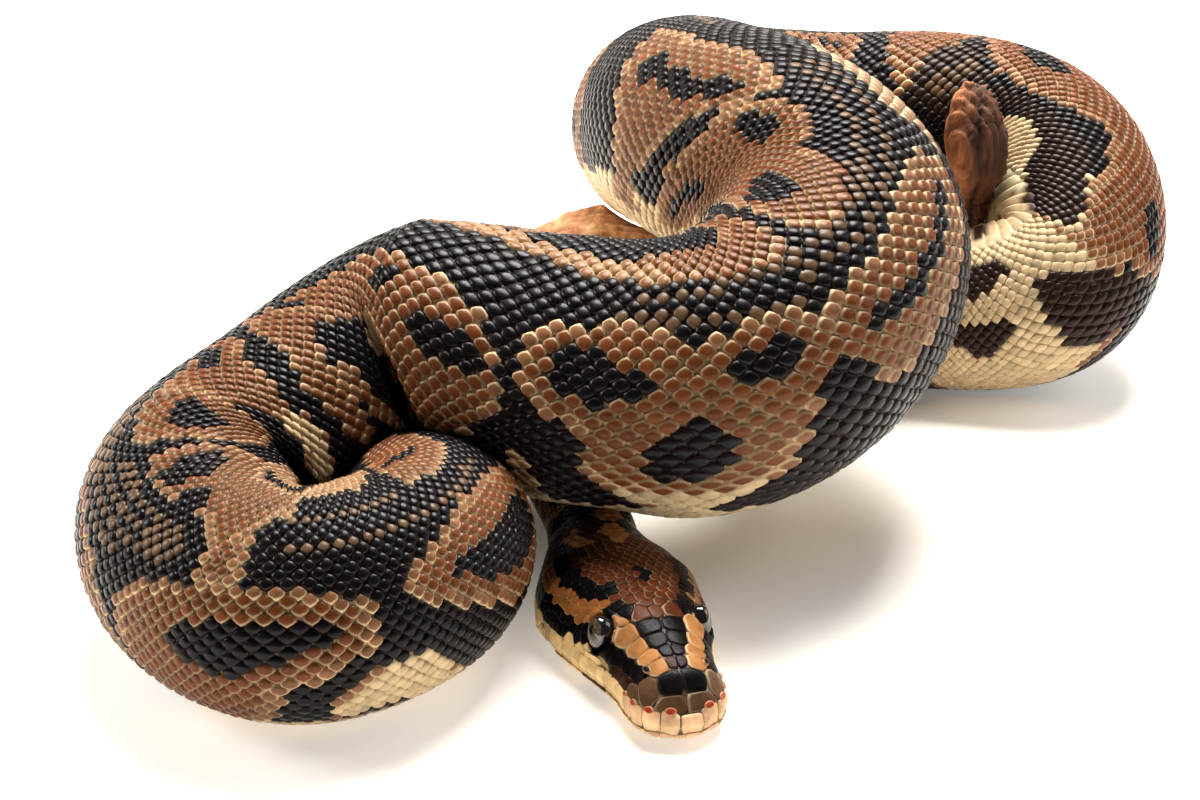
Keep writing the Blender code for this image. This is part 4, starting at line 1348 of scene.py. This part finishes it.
def scale_group():
    """Node group that rims each scale and breaks up its colour."""
    if "Scale Colour" in bpy.data.node_groups:
        return bpy.data.node_groups["Scale Colour"]
    tree = bpy.data.node_groups.new("Scale Colour", "ShaderNodeTree")
    grey = (0.5, 0.5, 0.5, 1.0)
    for name, kind, value in (("Tint", "Color", grey), ("Rim", "Color", grey), ("Rim Share", "Float", 0.5),
                              ("Place", "Vector", (0.5, 0.5, 0.0)), ("Rim Start", "Float", 0.55),
                              ("Rim End", "Float", 0.95), ("Mottle", "Float", 0.15)):
        tree.interface.new_socket(name=name, in_out="INPUT",
                                  socket_type="NodeSocket" + kind).default_value = value
    for name, kind in (("Colour", "Color"), ("Roughness", "Float"), ("Height", "Float")):
        tree.interface.new_socket(name=name, in_out="OUTPUT", socket_type="NodeSocket" + kind)
    source = tree.nodes.new("NodeGroupInput").outputs
    result = tree.nodes.new("NodeGroupOutput").inputs
    centre = add_node(tree, "VectorMath", {0: source["Place"], 1: (0.5, 0.42, 0.0)}, operation="DISTANCE")
    out = sums(tree, "MULTIPLY", centre.outputs["Value"], 2.0)
    edge = spread(tree, out, source["Rim Start"], source["Rim End"], 0.0, 1.0,
                  interpolation_type="SMOOTHSTEP")
    weight = sums(tree, "MULTIPLY", edge, source["Rim Share"])
    rimmed = add_node(tree, "Mix", {"Factor": weight, "A": source["Tint"], "B": source["Rim"]},
                      data_type="RGBA").outputs["Result"]
    place = add_node(tree, "TexCoord").outputs["Object"]
    cloud = noise(tree, place, 420.0, 3.0)
    swing = spread(tree, cloud, 0.3, 0.7, sums(tree, "SUBTRACT", 1.0, source["Mottle"]),
                   sums(tree, "ADD", 1.0, source["Mottle"]))
    plug(tree, scaled(tree, rimmed, swing), result["Colour"])
    plug(tree, spread(tree, cloud, 0.3, 0.7, 0.25, 0.40), result["Roughness"])
    plug(tree, noise(tree, place, 2200.0, 2.0), result["Height"])
    return tree


def plain_material(name, colour, roughness):
    """A Principled material with its main values, its node tree and the shader's inputs."""
    material = bpy.data.materials.new(name)
    material.use_nodes = True
    sockets = material.node_tree.nodes["Principled BSDF"].inputs
    sockets["Base Color"].default_value = (*colour, 1.0)
    sockets["Roughness"].default_value = roughness
    return material, material.node_tree, sockets


def relief(tree, sockets, height, distance, strength):
    """Raise the surface's look by a height."""
    bumps = add_node(tree, "Bump", {"Height": height, "Distance": distance, "Strength": strength})
    plug(tree, bumps.outputs["Normal"], sockets["Normal"])


def scale_material(name, place_map, rim_start, rim_end, mottle, bumps, darken=1.0, coat=0.05, gloss=0.11):
    """Glossy keratin that takes its tint and rim from the piece's own attributes."""
    material, tree, sockets = plain_material(name, (0.2, 0.1, 0.05), 0.3)
    rim = own_colour(tree, "Rim")
    group = tree.nodes.new("ShaderNodeGroup")
    group.node_tree = scale_group()
    values = {"Tint": own_colour(tree, "Tint")["Color"], "Rim": rim["Color"], "Rim Share": rim["Alpha"],
              "Rim Start": rim_start, "Rim End": rim_end, "Mottle": mottle}
    if place_map:
        values["Place"] = add_node(tree, "UVMap", uv_map=place_map).outputs["UV"]
    for socket, value in values.items():
        plug(tree, value, group.inputs[socket])
    colour = group.outputs["Colour"]
    plug(tree, colour if darken == 1.0 else scaled(tree, colour, darken), sockets["Base Color"])
    plug(tree, group.outputs["Roughness"], sockets["Roughness"])
    relief(tree, sockets, group.outputs["Height"], 0.0002, bumps)
    sockets["Specular IOR Level"].default_value = gloss
    sockets["Coat Weight"].default_value = coat
    sockets["Coat Roughness"].default_value = 0.14
    return material


def wear(made, material):
    """Give a piece its one material."""
    made.data.materials.clear()
    made.data.materials.append(material)
    return made


def eye_material():
    """Dark glossy eye: flecks over the piece's own colours."""
    material, tree, sockets = plain_material("glossy_eye", (0.02, 0.016, 0.012), 0.06)
    flecks = noise(tree, add_node(tree, "TexCoord").outputs["Object"], 1400.0, 4.0)
    level = spread(tree, flecks, 0.35, 0.7, 0.5, 1.6)
    plug(tree, scaled(tree, own_colour(tree, "Tint")["Color"], level), sockets["Base Color"])
    sockets["Coat Weight"].default_value = 1.0
    sockets["Coat Roughness"].default_value = 0.02
    return material


def wood_material(colours):
    """Dry driftwood: long fibres, dark cracks and paler worn ridges."""
    material, tree, sockets = plain_material("driftwood_fibre", (0.4, 0.2, 0.1), 0.75)
    place = add_node(tree, "TexCoord").outputs["Object"]
    stretch = add_node(tree, "Mapping", {"Vector": place, "Scale": (1.0, 1.0, 0.10)}).outputs["Vector"]
    fibre = noise(tree, stretch, 420.0, 6.0, Roughness=0.65)
    blend = add_node(tree, "Mix", {"Factor": 0.45, "A": fibre, "B": noise(tree, place, 60.0, 3.0)},
                     data_type="FLOAT").outputs["Result"]
    ramp = add_node(tree, "ValToRGB", {"Fac": blend})
    dark, pale = ramp.color_ramp.elements
    dark.position, dark.color = 0.30, (*colours.wood_dark, 1.0)
    pale.position, pale.color = 0.68, (*colours.wood_pale, 1.0)
    ramp.color_ramp.elements.new(0.48).color = (*colours.wood_red, 1.0)
    tint = own_colour(tree, "Tint")["Color"]
    shade = add_node(tree, "Mix", {"Factor": 1.0, "A": ramp.outputs["Color"], "B": tint},
                     data_type="RGBA", blend_type="MULTIPLY")
    plug(tree, shade.outputs["Result"], sockets["Base Color"])
    relief(tree, sockets, fibre, 0.0012, 0.8)
    return material


# ---------------------------------------------------------------------- eyes
def eye_piece(name, sign, colours):
    """A glassy eyeball with an upright pupil, just proud of its lids."""
    clear_selection()
    spot = lengths(eye_centre(sign))
    bpy.ops.mesh.primitive_uv_sphere_add(segments=48, ring_count=32, radius=EYE_RADIUS * MM, location=spot)
    made = bpy.context.object
    made.name = name
    bpy.ops.object.transform_apply(location=True, rotation=False, scale=False)
    bpy.ops.object.shade_smooth()
    _, along, _, side = frames(np.array([EYE_FROM_SNOUT]))
    look = unit(side[0] * sign * 0.94 - along[0] * 0.30 + UP * 0.15)
    points = np.array([v.co[:] for v in made.data.vertices]) - spot
    out = side[0] * sign
    depth = points @ out
    shifts = np.outer(-np.maximum(depth, 0.0) * 0.30, out) + np.outer(points @ along[0] * -0.10, along[0])
    shifts[:, 2] += points[:, 2] * 0.07
    for vertex, shift in zip(made.data.vertices, shifts):
        vertex.co += Vector(shift)
    points = unit(points, 1)
    facing = points @ look
    up = unit(UP - look * look[2])
    high = points @ up
    slit = np.hypot(points @ np.cross(look, up) / 0.16, high / 0.62)
    ring = np.sqrt(np.maximum(1.0 - facing ** 2, 0.0))
    iris = np.array(colours.eye_iris)
    dark = np.array((0.004, 0.004, 0.005))
    tint = np.where((high > 0.15)[:, None], iris * 1.8, iris)
    tint = np.where((slit < 1.0)[:, None] & (facing > 0.0)[:, None], dark, tint)
    tint = np.where((ring > 0.86)[:, None], dark * 2.0, tint)
    add_colour(made, "Tint", tint)
    return wear(made, eye_material())


# ---------------------------------------------------------------------- wood
VOXEL = 0.0009
PRONG_START = 55.0       # x where the lying branch passes into the upright prong, mm
CRACK = 69.9             # x of the prong's long crack
CRACK_WIDTH = 0.8
CRACK_DEPTH = 0.0009


def vertex_values(mesh, name):
    """One vector of each vertex, such as its place or normal."""
    values = np.empty(len(mesh.vertices) * 3)
    mesh.vertices.foreach_get(name, values)
    return values.reshape(-1, 3)


def wood_piece(colours):
    """The driftwood, remeshed from its solid and cut with long grooves."""
    clear_selection()
    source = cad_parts["driftwood"]
    made = bpy.data.objects.new("driftwood_bark", source.data.copy())
    bpy.context.collection.objects.link(made)
    made.data.transform(source.matrix_world)
    made.select_set(True)
    bpy.context.view_layer.objects.active = made
    bpy.ops.object.mode_set(mode="EDIT")
    bpy.ops.mesh.select_all(action="SELECT")
    bpy.ops.mesh.remove_doubles(threshold=0.00002)
    bpy.ops.object.mode_set(mode="OBJECT")
    remesh = made.modifiers.new("even", "REMESH")
    remesh.mode = "VOXEL"
    remesh.voxel_size = VOXEL
    bpy.ops.object.modifier_apply(modifier=remesh.name)
    smooth = made.modifiers.new("soft", "SMOOTH")
    smooth.iterations = 6
    smooth.factor = 0.5
    bpy.ops.object.modifier_apply(modifier=smooth.name)
    points = vertex_values(made.data, "co")
    facing = vertex_values(made.data, "normal")
    x, y, z = np.ascontiguousarray(points.T) * PER_METRE
    upright = np.clip((x - PRONG_START) / 8.0, 0.0, 1.0)
    around = np.where(upright > 0.5, x * 0.9 + y * 1.3, y * 1.1 + z)
    along = np.where(upright > 0.5, z, x)
    wave = (np.sin(around * 1.9 + 0.9 * np.sin(along * 0.13)) + 0.6 * np.sin(around * 3.7 + along * 0.11)
            + 0.4 * np.sin(around * 6.1 - along * 0.17 + 1.0))
    chips = (np.sin(z * 0.42 + x * 0.9) * np.sin(y * 0.7 - z * 0.21 + 1.3)
             + 0.6 * np.sin(z * 0.9 + y * 1.1))
    crack = np.exp(-((x - CRACK + 0.5 * np.sin(z * 0.35)) / CRACK_WIDTH) ** 2) * upright
    grooves = (0.00028 + 0.00030 * upright) * np.clip(wave + 0.9, 0.0, 2.2)
    for depth in (grooves, 0.0005 * upright * np.clip(chips, 0.0, 1.2), CRACK_DEPTH * crack):
        points = points - facing * depth[:, None]
    points[:, 2] = np.maximum(points[:, 2], 0.0)
    made.data.vertices.foreach_set("co", points.ravel())
    made.data.update()
    bpy.ops.object.shade_smooth()
    shade = (1.0 - 0.26 * np.clip(wave, 0.0, 2.0)) * (1.0 - 0.3 * upright * np.clip(chips, 0.0, 1.0))
    right = np.clip((x - 71.0) / 4.0, 0.0, 1.0) * upright
    left = np.clip((69.0 - x) / 3.5, 0.0, 1.0) * upright
    tint = np.repeat(shade[:, None], 3, 1)
    tint = tint * (1.0 - 0.40 * upright)[:, None] * (1.0 - 0.45 * right)[:, None]
    tint = tint * (1.0 + np.array([1.6, 1.7, 1.5]) * left[:, None]) * (1.0 - 0.8 * crack)[:, None]
    tint = tint * (1.0 + (1.0 - upright)[:, None] * np.array([1.2, 2.2, 2.9]))
    add_colour(made, "Tint", tint)
    return wear(made, wood_material(colours))


# --------------------------------------------------------------------- stage
VIEW_TILT = math.radians(25.0)
VIEW_ANGLE = math.radians(28.0)
VIEW_DISTANCE = 0.560
WARM = (1.0, 0.97, 0.93)


def area_light(name, place, aim, size, power, colour):
    """A square soft light aimed at a point."""
    data = bpy.data.lights.new(name, "AREA")
    data.shape = "SQUARE"
    data.size = size
    data.energy = power
    data.color = colour
    made = bpy.data.objects.new(name, data)
    bpy.context.collection.objects.link(made)
    made.location = place
    made.rotation_euler = (Vector(aim) - Vector(place)).to_track_quat("-Z", "Y").to_euler()


def stage_set(colours):
    """Pale floor with an upright back, soft lights and the camera. The floor glows with painted light,
    weakest round the snake as a painted shadow.
    """
    clear_selection()
    bpy.ops.mesh.primitive_plane_add(size=6.0, location=(0.0, 0.0, 0.0))
    floor = bpy.context.object
    floor.name = "pale_floor"
    bpy.ops.object.mode_set(mode="EDIT")
    bpy.ops.mesh.select_mode(type="EDGE")
    bpy.ops.mesh.select_all(action="DESELECT")
    bpy.ops.object.mode_set(mode="OBJECT")
    for edge in floor.data.edges:
        edge.select = all(floor.data.vertices[v].co.y > 2.0 for v in edge.vertices)
    bpy.ops.object.mode_set(mode="EDIT")
    bpy.ops.mesh.extrude_region_move(TRANSFORM_OT_translate={"value": (0.0, 0.0, 3.0)})
    bpy.ops.object.mode_set(mode="OBJECT")
    material, tree, sockets = plain_material("floor_glow_painted_shadow", colours.floor, 0.8)
    sockets["Specular IOR Level"].default_value = 0.1
    # painted light: the floor glows, weakest near the snake, so a painted shadow lies round it
    sockets["Emission Color"].default_value = (*colours.floor, 1.0)
    place = add_node(tree, "TexCoord").outputs["Object"]
    away = add_node(tree, "VectorMath", {0: place}, operation="LENGTH").outputs["Value"]
    plug(tree, spread(tree, away, 0.045, 0.115, 0.06, 0.55, interpolation_type="SMOOTHSTEP"),
         sockets["Emission Strength"])
    wear(floor, material)
    world = bpy.data.worlds.new("studio")
    bpy.context.scene.world = world
    world.use_nodes = True
    background = world.node_tree.nodes["Background"].inputs
    background["Color"].default_value = (1.0, 0.98, 0.95, 1.0)
    background["Strength"].default_value = 0.08
    area_light("back_light", (0.08, 0.37, 0.75), (0.0, 0.02, 0.02), 0.50, 22.5, WARM)
    area_light("left_light", (-0.78, 0.06, 0.42), (0.0, 0.0, 0.03), 0.35, 6.5, WARM)
    area_light("right_light", (0.65, 0.10, 0.45), (0.0, 0.0, 0.03), 0.40, 1.2, (0.97, 0.98, 1.0))
    data = bpy.data.cameras.new("camera")
    data.sensor_fit = "HORIZONTAL"
    data.angle = VIEW_ANGLE
    camera = bpy.data.objects.new("camera", data)
    bpy.context.collection.objects.link(camera)
    aim = Vector(lengths([0.0, 0.0, 0.0]))
    camera.location = aim + Vector((0.0, -math.cos(VIEW_TILT), math.sin(VIEW_TILT))) * VIEW_DISTANCE
    camera.rotation_euler = (aim - camera.location).to_track_quat("-Z", "Y").to_euler()
    bpy.context.scene.camera = camera
    bpy.context.scene.view_settings.view_transform = "Standard"


# ------------------------------------------------------------------ settings
class SnakeSizes(bpy.types.PropertyGroup):
    """Sizes of the coat."""
    rows: bpy.props.IntProperty(
        name="Scale rows", description="Rows of scales round the middle of the body",
        default=70, min=30, max=80)
    pitch: bpy.props.FloatProperty(
        name="Scale pitch", description="Length of a scale as a share of the body's half width",
        default=0.115)
    belly: bpy.props.FloatProperty(
        name="Belly half angle", description="Half the arc that the wide belly scutes cover, in degrees",
        default=34.0)
    squareness: bpy.props.FloatProperty(
        name="Scale outline", description="1 is a diamond, 2 an oval", default=1.35)
    seed: bpy.props.IntProperty(name="Seed", description="Seed of the small irregularities", default=11)


class SnakeColours(bpy.types.PropertyGroup):
    """Colours of skin, eyes and wood, as linear values."""
    black: bpy.props.FloatVectorProperty(
        name="Black", description="Ground between the blotches",
        subtype="COLOR", default=(0.0040, 0.0032, 0.0036))
    brown: bpy.props.FloatVectorProperty(
        name="Brown", description="Blotches on the flanks",
        subtype="COLOR", default=(0.138, 0.040, 0.0118))
    cream: bpy.props.FloatVectorProperty(
        name="Cream", description="Rims and lower flanks",
        subtype="COLOR", default=(0.60, 0.44, 0.25))
    belly: bpy.props.FloatVectorProperty(
        name="Belly", description="Belly scutes",
        subtype="COLOR", default=(0.66, 0.55, 0.35))
    gold: bpy.props.FloatVectorProperty(
        name="Gold", description="Stripes of the head and nape",
        subtype="COLOR", default=(0.40, 0.175, 0.058))
    eye_iris: bpy.props.FloatVectorProperty(
        name="Iris", description="Eye",
        subtype="COLOR", default=(0.060, 0.043, 0.026))
    wood_dark: bpy.props.FloatVectorProperty(
        name="Dark wood", description="Cracks in the driftwood",
        subtype="COLOR", default=(0.05, 0.015, 0.006))
    wood_red: bpy.props.FloatVectorProperty(
        name="Red wood", description="Body of the driftwood",
        subtype="COLOR", default=(0.26, 0.075, 0.025))
    wood_pale: bpy.props.FloatVectorProperty(
        name="Pale wood", description="Worn ridges of the driftwood",
        subtype="COLOR", default=(0.50, 0.22, 0.09))
    floor: bpy.props.FloatVectorProperty(
        name="Floor", description="Pale floor of the stage",
        subtype="COLOR", default=(0.90, 0.87, 0.82))


def palette(colours):
    """Each marking's colour, its scales' rim colour and how strong the rim is."""
    black, brown, cream, belly, gold = (
        np.array(getattr(colours, name)) for name in ("black", "brown", "cream", "belly", "gold"))
    return {
        "black": (black, black * 7.0 + brown * 0.22, 0.30),
        "brown": (brown, cream * 0.80, 0.70),
        "tan": (brown * 0.9 + cream * 0.25, cream, 0.7),
        # dark: brownish black, on the rear coil lighter than the ground partly as painted sheen
        "dark": (brown * 0.10 + black * 1.8, cream * 0.08 + brown * 0.15, 0.4),
        "snout": (brown * 0.26 + black, belly * 0.5, 0.25),
        "speck": (cream * 0.11 + brown * 0.30, black, 1.0),
        "pit": (np.array((0.42, 0.048, 0.016)), brown, 0.0),
        # nostril: black painted shade for the opening
        "nostril": (black, black, 0.0),
        "pit_rim": (belly * np.array((0.95, 0.62, 0.50)), belly, 0.0),
        "chestnut": (brown * np.array((0.80, 0.62, 0.58)), cream * 0.75, 0.75),
        "crown": (brown * 0.18, cream * 0.4, 0.35),
        # lip: the lips' own pale cream-yellow, made brighter partly as painted light on plates that lie in
        # shade
        "lip": (belly * np.array((1.42, 1.18, 0.86)), belly * 0.6, 0.35),
        "lip_brown": (brown * 0.55 + belly * 0.08, belly * 0.6, 0.6),
        "pink": (belly * np.array((1.15, 0.86, 0.76)), belly * np.array((1.1, 0.95, 0.85)), 0.5),
        "rim": (cream * 0.12 + brown, cream * 1.15, 1.0),
        "cream": (cream, belly, 0.5),
        "belly": (belly, belly * 1.1, 0.4),
        "gold": (gold, cream * 1.2, 0.7),
        "amber": (gold * np.array((0.80, 0.62, 0.45)), cream * np.array((1.1, 1.0, 0.7)), 0.95),
        # nape: gold made 1.6 times brighter, painted light on marks that lie in the middle coil's shadow
        "nape": (gold * 1.6, gold, 0.5),
    }


# ----------------------------------------------------------------- operators
BUILT = {}


def surface_now():
    """The body's surface, computed once."""
    if "surface" not in BUILT:
        BUILT["surface"] = Surface()
    return BUILT["surface"]


class PYTHON_OT_skin(bpy.types.Operator):
    """Lay one skin over all the snake's flesh"""
    bl_idname = "python_model.skin"
    bl_label = "Skin"

    def execute(self, context):
        model = context.scene.python_model
        made = skin_piece(surface_now(), palette(model.colours))
        wear(made, scale_material("skin_between_scales", None, rim_start=-2.0, rim_end=-1.0, mottle=0.15,
                                  bumps=0.3, darken=0.8, coat=0.0))
        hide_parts(*FLESH)
        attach(made, "root")
        return {"FINISHED"}


class PYTHON_OT_scales(bpy.types.Operator):
    """Set the small glossy scales over neck, trunk and tail"""
    bl_idname = "python_model.scales"
    bl_label = "Body scales"

    def execute(self, context):
        model = context.scene.python_model
        sizes = model.sizes
        chance = np.random.default_rng(sizes.seed)
        template = dome_template(10, ((0.13, 0.62), (0.30, 0.30)))
        template[0][:, 2] = template[0][:, 2] / template[0][:, 2].max() * 1.15 - 0.15
        shape = {"squareness": sizes.squareness, "tip": 0.50, "root": 0.47, "width": 0.90}
        material = scale_material("body_scale_keratin", "Scale", rim_start=0.60, rim_end=0.96,
                                  mottle=0.16, bumps=0.25)
        trunk = [("scales_body_%d" % (k + 1), start, end, sizes.rows, sizes.pitch)
                 for k, (start, end) in enumerate(zip(BODY_CUTS[:-1], BODY_CUTS[1:]))]
        for name, start, end, rows, pitch in [NECK_SCALES, *trunk, TAIL_SCALES]:
            sites = scale_sites(start, end, rows, pitch, sizes.belly, chance)
            made = scale_piece(name, surface_now(), sites, template, shape, palette(model.colours), chance)
            wear(made, material)
            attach(made, "root")
        return {"FINISHED"}


class PYTHON_OT_scutes(bpy.types.Operator):
    """Lay the wide belly scutes"""
    bl_idname = "python_model.scutes"
    bl_label = "Belly scutes"

    def execute(self, context):
        model = context.scene.python_model
        made = scute_piece("belly_scutes", surface_now(), *SCUTES, model.sizes.belly, palette(model.colours))
        wear(made, scale_material("belly_scute_keratin", "Scale", rim_start=0.8, rim_end=1.0,
                                  mottle=0.08, bumps=0.2))
        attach(made, "root")
        return {"FINISHED"}


class PYTHON_OT_head(bpy.types.Operator):
    """Set the plates and small scales of the head"""
    bl_idname = "python_model.head"
    bl_label = "Head scales"

    def execute(self, context):
        model = context.scene.python_model
        chance = np.random.default_rng(model.sizes.seed + 2)
        made = head_pieces(surface_now(), palette(model.colours), chance)
        wear(made, scale_material("head_scale_keratin", "Scale", rim_start=0.86, rim_end=1.05,
                                  mottle=0.22, bumps=0.3, coat=0.02, gloss=0.05))
        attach(made, "root")
        pits = pit_piece(surface_now(), palette(model.colours))
        wear(pits, scale_material("pit_lining", None, rim_start=2.0, rim_end=3.0, mottle=0.2, bumps=0.2))
        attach(pits, "root")
        return {"FINISHED"}


class PYTHON_OT_eyes(bpy.types.Operator):
    """Set both eyes"""
    bl_idname = "python_model.eyes"
    bl_label = "Eyes"

    def execute(self, context):
        model = context.scene.python_model
        for name, node, sign in (("left_eyeball", "eye_left", 1.0), ("right_eyeball", "eye_right", -1.0)):
            made = eye_piece(name, sign, model.colours)
            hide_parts(node)
            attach(made, "root")
        return {"FINISHED"}


class PYTHON_OT_wood(bpy.types.Operator):
    """Carve the driftwood's fibres"""
    bl_idname = "python_model.wood"
    bl_label = "Driftwood"

    def execute(self, context):
        made = wood_piece(context.scene.python_model.colours)
        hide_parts("driftwood")
        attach(made, "root")
        return {"FINISHED"}


class PYTHON_OT_stage(bpy.types.Operator):
    """Set the floor, the lights and the camera"""
    bl_idname = "python_model.stage"
    bl_label = "Stage"

    def execute(self, context):
        stage_set(context.scene.python_model.colours)
        return {"FINISHED"}


class PythonModel(bpy.types.PropertyGroup):
    """All settings of the model."""
    sizes: bpy.props.PointerProperty(type=SnakeSizes, name="Sizes", description="Sizes of the coat")
    colours: bpy.props.PointerProperty(type=SnakeColours, name="Colours", description="Colours")


class PYTHON_PT_panel(bpy.types.Panel):
    """Lists the pieces and their settings."""
    bl_idname = "PYTHON_PT_panel"
    bl_label = "Ball Python"
    bl_space_type = "VIEW_3D"
    bl_region_type = "UI"
    bl_category = "Ball Python"

    def draw(self, context):
        model = context.scene.python_model
        for name in ("rows", "pitch", "belly", "squareness", "seed"):
            self.layout.prop(model.sizes, name)
        for name in ("black", "brown", "cream", "belly", "gold", "eye_iris", "wood_dark", "wood_red",
                     "wood_pale", "floor"):
            self.layout.prop(model.colours, name)
        for step in STEPS:
            self.layout.operator("python_model." + step)


STEPS = ("stage", "skin", "scales", "scutes", "head", "eyes", "wood")
CLASSES = (SnakeSizes, SnakeColours, PythonModel, PYTHON_OT_skin, PYTHON_OT_scales, PYTHON_OT_scutes,
           PYTHON_OT_head, PYTHON_OT_eyes, PYTHON_OT_wood, PYTHON_OT_stage, PYTHON_PT_panel)


def register():
    """Make the settings, operators and panel known."""
    for entry in CLASSES:
        bpy.utils.register_class(entry)
    bpy.types.Scene.python_model = bpy.props.PointerProperty(type=PythonModel)


def unregister():
    """Take them away again."""
    del bpy.types.Scene.python_model
    for entry in reversed(CLASSES):
        bpy.utils.unregister_class(entry)


def main():
    """Build every piece."""
    register()
    clear_selection()
    for step in STEPS:
        getattr(bpy.ops.python_model, step)()


if __name__ == "__main__":
    main()
